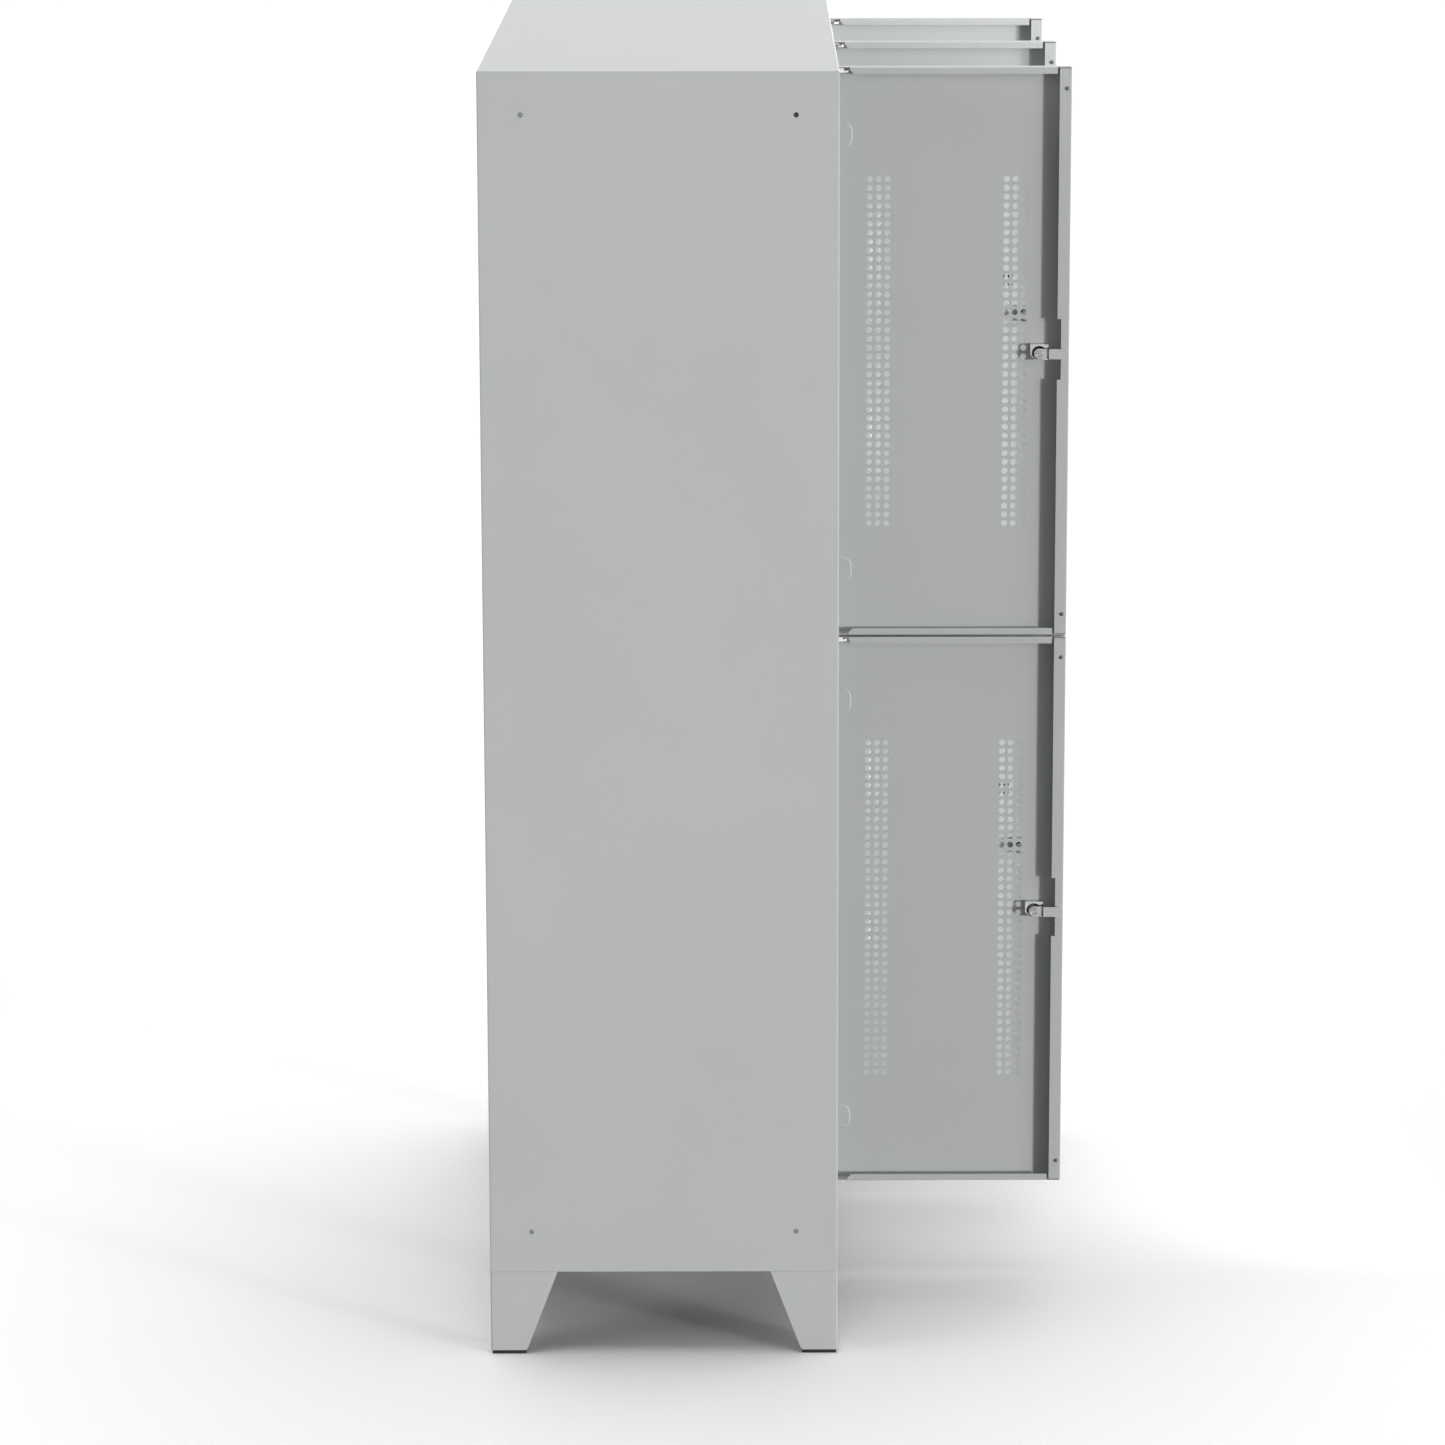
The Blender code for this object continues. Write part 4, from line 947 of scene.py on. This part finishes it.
def hinge_bar(sizes):
    """The bar under a door's top flange, in s, d, z: a round end about the pivot's hole, and a slanted
    face at the far end."""
    inset, setback = hinge_inset()
    pivot = np.array([DOOR_WIDTH - inset, setback])
    half, end = sizes.bar_width / 2, sizes.bar_length
    round_end = half * unit_circle(np.linspace(-1, 1, 2 * BEND_STEPS + 1) / 4)
    far = [(sizes.bar_slant - end, half), (-end, 0), (-end, -half)]
    far = rounded_profile([round_end[-1], *far, round_end[0]], sizes.bar_corner)[1:-1]
    outline = by_turn(np.concatenate([round_end, far]) + pivot, pivot)
    high = DOOR_HEIGHT - sizes.bar_below
    body = np.array(stacked(
        outline, soft_ends(high - sizes.bar_height, high, sizes.bar_round, JOGGLE_STEPS),
    ))
    turns = even_turns(BAR_HOLE_SIDES)
    hole = np.array([level_ring(turns, sizes.pivot_hole, level, pivot) for level in body[[0, -1], 0, 2]])
    faces = [pierced_face(body[place], hole[place], pivot) for place in (0, -1)]
    return [grid(body, closed=True), grid(hole, closed=True), *faces]


def buffer_dome(sizes, s, z):
    """A door buffer: a dome whose height follows a quarter of an ellipse over its radius."""
    turn = np.linspace(0, math.pi / 2, END_STEPS + 1)
    profile = np.stack([
        sizes.buffer_radius * np.cos(turn), DOOR_DEPTH + sizes.buffer_height * np.sin(turn),
    ], axis=1)
    return [turned(profile, BUFFER_SIDES, (s, z))]


def hole_plug(sizes, y, z):
    """A plug in a link hole: a face let in a little, with a groove between its rounded rim and its
    middle, turned about the hole's axis."""
    radius, rim, groove, back = sizes.plug_radius, sizes.plug_rim, sizes.plug_groove, sizes.plug_depth
    profile = rounded_profile([
        (0, sizes.plug_centre), (radius * PLUG_MIDDLE, sizes.plug_middle),
        *((radius * share, groove) for share in PLUG_GROOVE),
        (radius * PLUG_RIM, rim), (radius, rim), (radius, back), (0, back),
    ], rim)
    return [turned(profile, SMALL_SIDES, (y, z))]


def clothes_rail(sizes, run):
    """A clothes rail along its own length: the tube's radius between the two sockets' radius, turned
    about the tube's axis, with the sockets' rims rounded."""
    thick, thin, deep = sizes.socket_radius, sizes.rail_radius, sizes.socket_length
    profile = rounded_profile([
        (0, 0), (thick, 0), (thick, deep), (thin, deep), (thin, run - deep), (thick, run - deep),
        (thick, run), (0, run),
    ], sizes.socket_round, LIP_STEPS)
    return [turned(profile, RAIL_SIDES)]


def leg_wings(sizes, top):
    """A leg's outer face: at each height two wings of one width, joined by a bend, and a flange drawn
    in from the top edge."""
    low = sizes.cap_shows
    levels = np.array([low, low + sizes.leg_chamfer, top])
    widths = np.array([sizes.leg_foot - sizes.leg_chamfer, sizes.leg_foot, sizes.leg_top])
    run, rise = quarter(sizes.leg_bend, BEND_STEPS)
    share = np.linspace(1, 0, END_STEPS + 1)[:-1, None]
    reach = sizes.leg_bend + share * (widths - sizes.leg_bend)
    straight = flat_points(np.stack([reach, np.zeros_like(reach)], axis=-1), levels[None, :, None])
    bend = np.stack([sizes.leg_bend - run, rise], axis=1)[:, None].repeat(len(levels), axis=1)
    bend = flat_points(bend, levels[None, :, None])
    wings = np.concatenate([straight, bend, straight[::-1][..., [1, 0, 2]]])
    edge = wings[:, -1]
    drawn_in = np.concatenate([np.maximum(edge[:, :2], sizes.leg_flange), edge[:, 2:]], axis=1)
    return [grid(wings), grid(np.stack([edge, drawn_in]))]


def foot_cap(sizes):
    """A foot cap that stands in the leg: the rounded outline of an angle of two bars, stacked from the
    floor to the cap's height and drawn in at both ends."""
    near, far = sizes.leg_sheet + sizes.cap_gap, sizes.cap_reach
    inner = near + sizes.cap_bar
    corners = [(near, near), (far, near), (far, inner), (inner, inner), (inner, far), (near, far)]
    outline = rounded_loop(corners, sizes.cap_corner)
    return [joined_rings(stacked(outline, soft_ends(0, sizes.cap_height, sizes.cap_round)))]


class LOCKER_OT_carcass(bpy.types.Operator):
    """Give every plain node of the cabinet its finish"""
    bl_idname = "locker.carcass"
    bl_label = "Finish the carcass"

    def execute(self, context):
        for name, node in frame["nodes"].items():
            plated = name.startswith("pivot_pin_")
            for holder in node.material_slots:
                holder.material = finish_of("zinc_plated_steel" if plated else "grey_painted_steel")
        return {"FINISHED"}


class LOCKER_OT_doors(bpy.types.Operator):
    """Fold and perforate the doors"""
    bl_idname = "locker.doors"
    bl_label = "Build the doors"

    def execute(self, context):
        sizes = context.scene.locker_doors
        surface = door_surface(sizes)
        for name in DOORS:
            flat_faces(add_piece(
                "door_sheet_" + name, placed(surface, door_place(name)), "grey_painted_steel",
                name + "_door", ["door_" + name], sizes.sheet, facing=(1, 0, 0),
            ))
        return {"FINISHED"}


class LOCKER_OT_locks(bpy.types.Operator):
    """Cast the locks, their cores, cams and screws"""
    bl_idname = "locker.locks"
    bl_label = "Build the locks"

    def execute(self, context):
        sizes = context.scene.locker_locks
        chrome, zinc = "chrome_plated_zinc", "zinc_plated_steel"
        shapes = [make(sizes) for make in (lock_case, lock_core, cam_plate, cam_screw)]
        for name in DOORS:
            door, cam = name + "_door", name + "_cam"
            case, core, plate, screw = (placed(shape, door_place(name)) for shape in shapes)
            add_piece("lock_case_" + name, case, chrome, door, ["lock_housing_" + name])
            add_piece("lock_core_" + name, core, chrome, cam)
            soften(add_piece(
                "cam_plate_" + name, plate, zinc, cam, ["cam_" + name], sizes.cam_sheet,
                facing=(-1, 0, 0),
            ), sizes.cam_edge)
            add_piece("cam_screw_" + name, screw, zinc, cam)
        return {"FINISHED"}


class LOCKER_OT_hinges(bpy.types.Operator):
    """Make the hinge bars of the doors"""
    bl_idname = "locker.hinges"
    bl_label = "Build the hinge bars"

    def execute(self, context):
        shape = hinge_bar(context.scene.locker_fittings)
        for name in DOORS:
            place = door_place(name)
            # The hinge bars take the brighter copy of the zinc plate, which gives them a painted highlight
            add_piece(
                "hinge_bar_" + name, placed(shape, lambda s, d, z: place(s, z, d)), "nickel_plated_steel",
                name + "_door", ["hinge_bush_" + name],
            )
        return {"FINISHED"}


class LOCKER_OT_buffers(bpy.types.Operator):
    """Press soft buffers into the doors' free edges"""
    bl_idname = "locker.buffers"
    bl_label = "Build the buffers"

    def execute(self, context):
        sizes = context.scene.locker_fittings
        for name in DOORS:
            place = door_place(name)
            for end, z in (("low", sizes.buffer_end), ("high", DOOR_HEIGHT - sizes.buffer_end)):
                dome = placed(buffer_dome(sizes, sizes.buffer_in, z), place)
                piece = add_piece(f"buffer_{end}_{name}", dome, "soft_plastic", name + "_door")
                anchor = place(sizes.buffer_in, z, DOOR_DEPTH)
                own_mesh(piece)
        return {"FINISHED"}


class LOCKER_OT_plugs(bpy.types.Operator):
    """Close the link holes in the side panels"""
    bl_idname = "locker.plugs"
    bl_label = "Build the plugs"

    def execute(self, context):
        sizes = context.scene.locker_fittings
        for side, inward in (("left", 1), ("right", -1)):
            low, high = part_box("side_panel_" + side)
            face = low.x if side == "left" else high.x
            place = lambda y, z, d: np.stack([face + inward * d, y, z], axis=-1)
            for row, z in (("low", low.z + sizes.plug_inset), ("high", high.z - sizes.plug_inset)):
                for line, y in (("front", low.y + sizes.plug_inset), ("rear", high.y - sizes.plug_inset)):
                    dark = (row, line) == ("high", "front")
                    add_piece(
                        f"plug_{row}_{line}_{side}", placed(hole_plug(sizes, y, z), place),
                        "black_plastic" if dark else "grey_plastic", "cabinet",
                    )
        return {"FINISHED"}


class LOCKER_OT_rails(bpy.types.Operator):
    """Hang the clothes rails in their sockets"""
    bl_idname = "locker.rails"
    bl_label = "Build the clothes rails"

    def execute(self, context):
        for name in DOORS:
            low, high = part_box("clothes_rail_" + name)
            middle = (low + high) / 2
            rail = placed(
                clothes_rail(context.scene.locker_fittings, high.x - low.x),
                lambda y, z, x: np.stack([low.x + x, middle.y + y, middle.z + z], axis=-1),
            )
            add_piece(
                "rail_tube_" + name, rail, "zinc_plated_steel", "cabinet",
                ["clothes_rail_" + name],
            )
        return {"FINISHED"}


class LOCKER_OT_legs(bpy.types.Operator):
    """Fold the legs and cap their feet"""
    bl_idname = "locker.legs"
    bl_label = "Build the legs and foot caps"

    def execute(self, context):
        sizes = context.scene.locker_fittings
        for line in ("front", "rear"):
            for side in ("left", "right"):
                title = f"{line}_{side}"
                low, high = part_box("leg_" + title)
                corner_x, way_x = (low.x, 1) if side == "left" else (high.x, -1)
                corner_y, way_y = (low.y, 1) if line == "front" else (high.y, -1)
                place = lambda x, y, z: np.stack([corner_x + way_x * x, corner_y + way_y * y, z], axis=-1)
                flat_faces(add_piece(
                    "leg_sheet_" + title, placed(leg_wings(sizes, high.z), place), "grey_painted_steel",
                    "cabinet", ["leg_" + title], sizes.leg_sheet,
                    facing=(-way_x, -way_y, 0),
                ))
                add_piece(
                    "foot_" + title, placed(foot_cap(sizes), place), "black_plastic", "cabinet",
                    ["foot_cap_" + title],
                )
        return {"FINISHED"}


class LOCKER_OT_stage(bpy.types.Operator):
    """Set up the floor, the lamps and the camera"""
    bl_idname = "locker.stage"
    bl_label = "Set the stage"

    def execute(self, context):
        studio = context.scene.locker_studio
        context.scene.view_settings.view_transform = "Standard"
        add_floor(studio)
        add_world(context.scene, studio)
        for name, angles in LAMPS.items():
            add_lamp(name, *angles, getattr(studio, name))
        add_strip(studio)
        add_camera(context.scene, studio)
        return {"FINISHED"}


def seen_directly(tree):
    """One for what the camera or a gloss sees, and zero for light that bounces."""
    rays = add_node(tree, "LightPath")
    seen = add_node(tree, "Math", {"operation": "MAXIMUM"}, Value=rays.outputs["Is Camera Ray"])
    tree.links.new(rays.outputs["Is Glossy Ray"], seen.inputs[1])
    return seen.outputs["Value"]


def add_floor(studio):
    """A level sheet under the feet that is paler for the camera than for bounced light."""
    ends = (-FLOOR_HALF, FLOOR_HALF)
    corners = np.array([[(x, y, 0.0) for x in ends] for y in ends])
    mesh = new_mesh("studio_floor", [grid(corners)], facing=(0, 0, 1))
    floor = bpy.data.objects.new("studio_floor", mesh)
    bpy.context.scene.collection.objects.link(floor)
    material = bpy.data.materials.new("studio_paper")
    material.use_nodes = True
    tree = material.node_tree
    tree.nodes.remove(tree.nodes["Principled BSDF"])
    mix = add_node(tree, "Mix", {"data_type": "RGBA"}, Factor=seen_directly(tree))
    colours = [socket for socket in mix.inputs if socket.type == "RGBA"]
    colours[0].default_value = (*studio.floor, 1)
    colours[1].default_value = (*[studio.floor_gain] * 3, 1)
    out = [socket for socket in mix.outputs if socket.type == "RGBA"][0]
    surface = add_node(tree, "BsdfDiffuse", Color=out)
    tree.links.new(surface.outputs["BSDF"], tree.nodes["Material Output"].inputs["Surface"])
    mesh.materials.append(material)


def add_world(scene, studio):
    """Plain light from all round, with pure white where the camera or a gloss sees past the floor."""
    world = bpy.data.worlds.new("studio")
    world.use_nodes = True
    scene.world = world
    tree = world.node_tree
    strength = add_node(
        tree, "MapRange", {"To Min": studio.ambient, "To Max": 1.0}, Value=seen_directly(tree),
    )
    background = tree.nodes["Background"]
    background.inputs["Color"].default_value = (1, 1, 1, 1)
    tree.links.new(strength.outputs["Result"], background.inputs["Strength"])


def add_lamp(name, aside, height, size, strength):
    """A far lamp as even light: aside and height are the angles in degrees from the camera's side of the
    object to the lamp, and size is the angle that it fills, which softens its shadows."""
    lamp = bpy.data.lights.new(name, "SUN")
    lamp.angle = math.radians(size)
    lamp.energy = strength
    holder = bpy.data.objects.new(name, lamp)
    bpy.context.scene.collection.objects.link(holder)
    turn, rise = math.radians(aside), math.radians(height)
    towards = Vector((-math.cos(turn) * math.cos(rise), math.sin(turn) * math.cos(rise), math.sin(rise)))
    holder.rotation_euler = towards.to_track_quat("Z", "Y").to_euler()


def add_strip(studio):
    """An upright strip light with a grid before the free edges of the open doors, in line with the first
    of them, so that it lights the inner faces of the others but not that one's."""
    lamp = bpy.data.lights.new("strip", "AREA")
    lamp.shape = "RECTANGLE"
    lamp.size, lamp.size_y = studio.strip_width, studio.strip_height
    lamp.spread = studio.strip_spread
    lamp.energy = studio.strip
    holder = bpy.data.objects.new("strip", lamp)
    bpy.context.scene.collection.objects.link(holder)
    holder.location = studio.strip_place
    holder.rotation_euler = Euler((math.pi / 2, 0, studio.strip_turn))
    holder.visible_camera = False


def add_camera(scene, studio):
    """The camera, without roll: it looks along +X, turned to its right by the yaw and down by the
    pitch."""
    camera = bpy.data.cameras.new("camera")
    camera.lens = studio.camera_lens
    camera.sensor_width = SENSOR_WIDTH
    camera.shift_x, camera.shift_y = studio.camera_shift
    camera.clip_end = VIEW_DEPTH
    holder = bpy.data.objects.new("camera", camera)
    scene.collection.objects.link(holder)
    holder.location = studio.camera_place
    turn = -math.pi / 2 - studio.camera_yaw
    holder.rotation_euler = Euler((math.pi / 2 - studio.camera_pitch, 0, turn))
    scene.camera = holder


class LOCKER_PT_panel(bpy.types.Panel):
    """The steps of the locker, in order"""
    bl_idname = "LOCKER_PT_panel"
    bl_label = "Clothes locker"
    bl_space_type = "VIEW_3D"
    bl_region_type = "UI"
    bl_category = "Locker"

    def draw(self, context):
        for step in OPERATORS:
            self.layout.operator(step.bl_idname)


GROUPS = {
    "locker_doors": LockerDoorSizes,
    "locker_locks": LockerLockSizes,
    "locker_fittings": LockerFittingSizes,
    "locker_finishes": LockerFinishes,
    "locker_studio": LockerStudio,
}
OPERATORS = (
    LOCKER_OT_carcass, LOCKER_OT_doors, LOCKER_OT_locks, LOCKER_OT_hinges, LOCKER_OT_buffers,
    LOCKER_OT_plugs, LOCKER_OT_rails, LOCKER_OT_legs, LOCKER_OT_stage,
)


def register():
    for kind in (*GROUPS.values(), *OPERATORS, LOCKER_PT_panel):
        bpy.utils.register_class(kind)
    for name, kind in GROUPS.items():
        setattr(bpy.types.Scene, name, PointerProperty(type=kind))


def unregister():
    for name in GROUPS:
        delattr(bpy.types.Scene, name)
    for kind in (LOCKER_PT_panel, *reversed(OPERATORS), *GROUPS.values()):
        bpy.utils.unregister_class(kind)


def main():
    register()
    for step in OPERATORS:
        getattr(bpy.ops.locker, step.bl_idname.split(".")[1])()


if __name__ == "__main__":
    main()
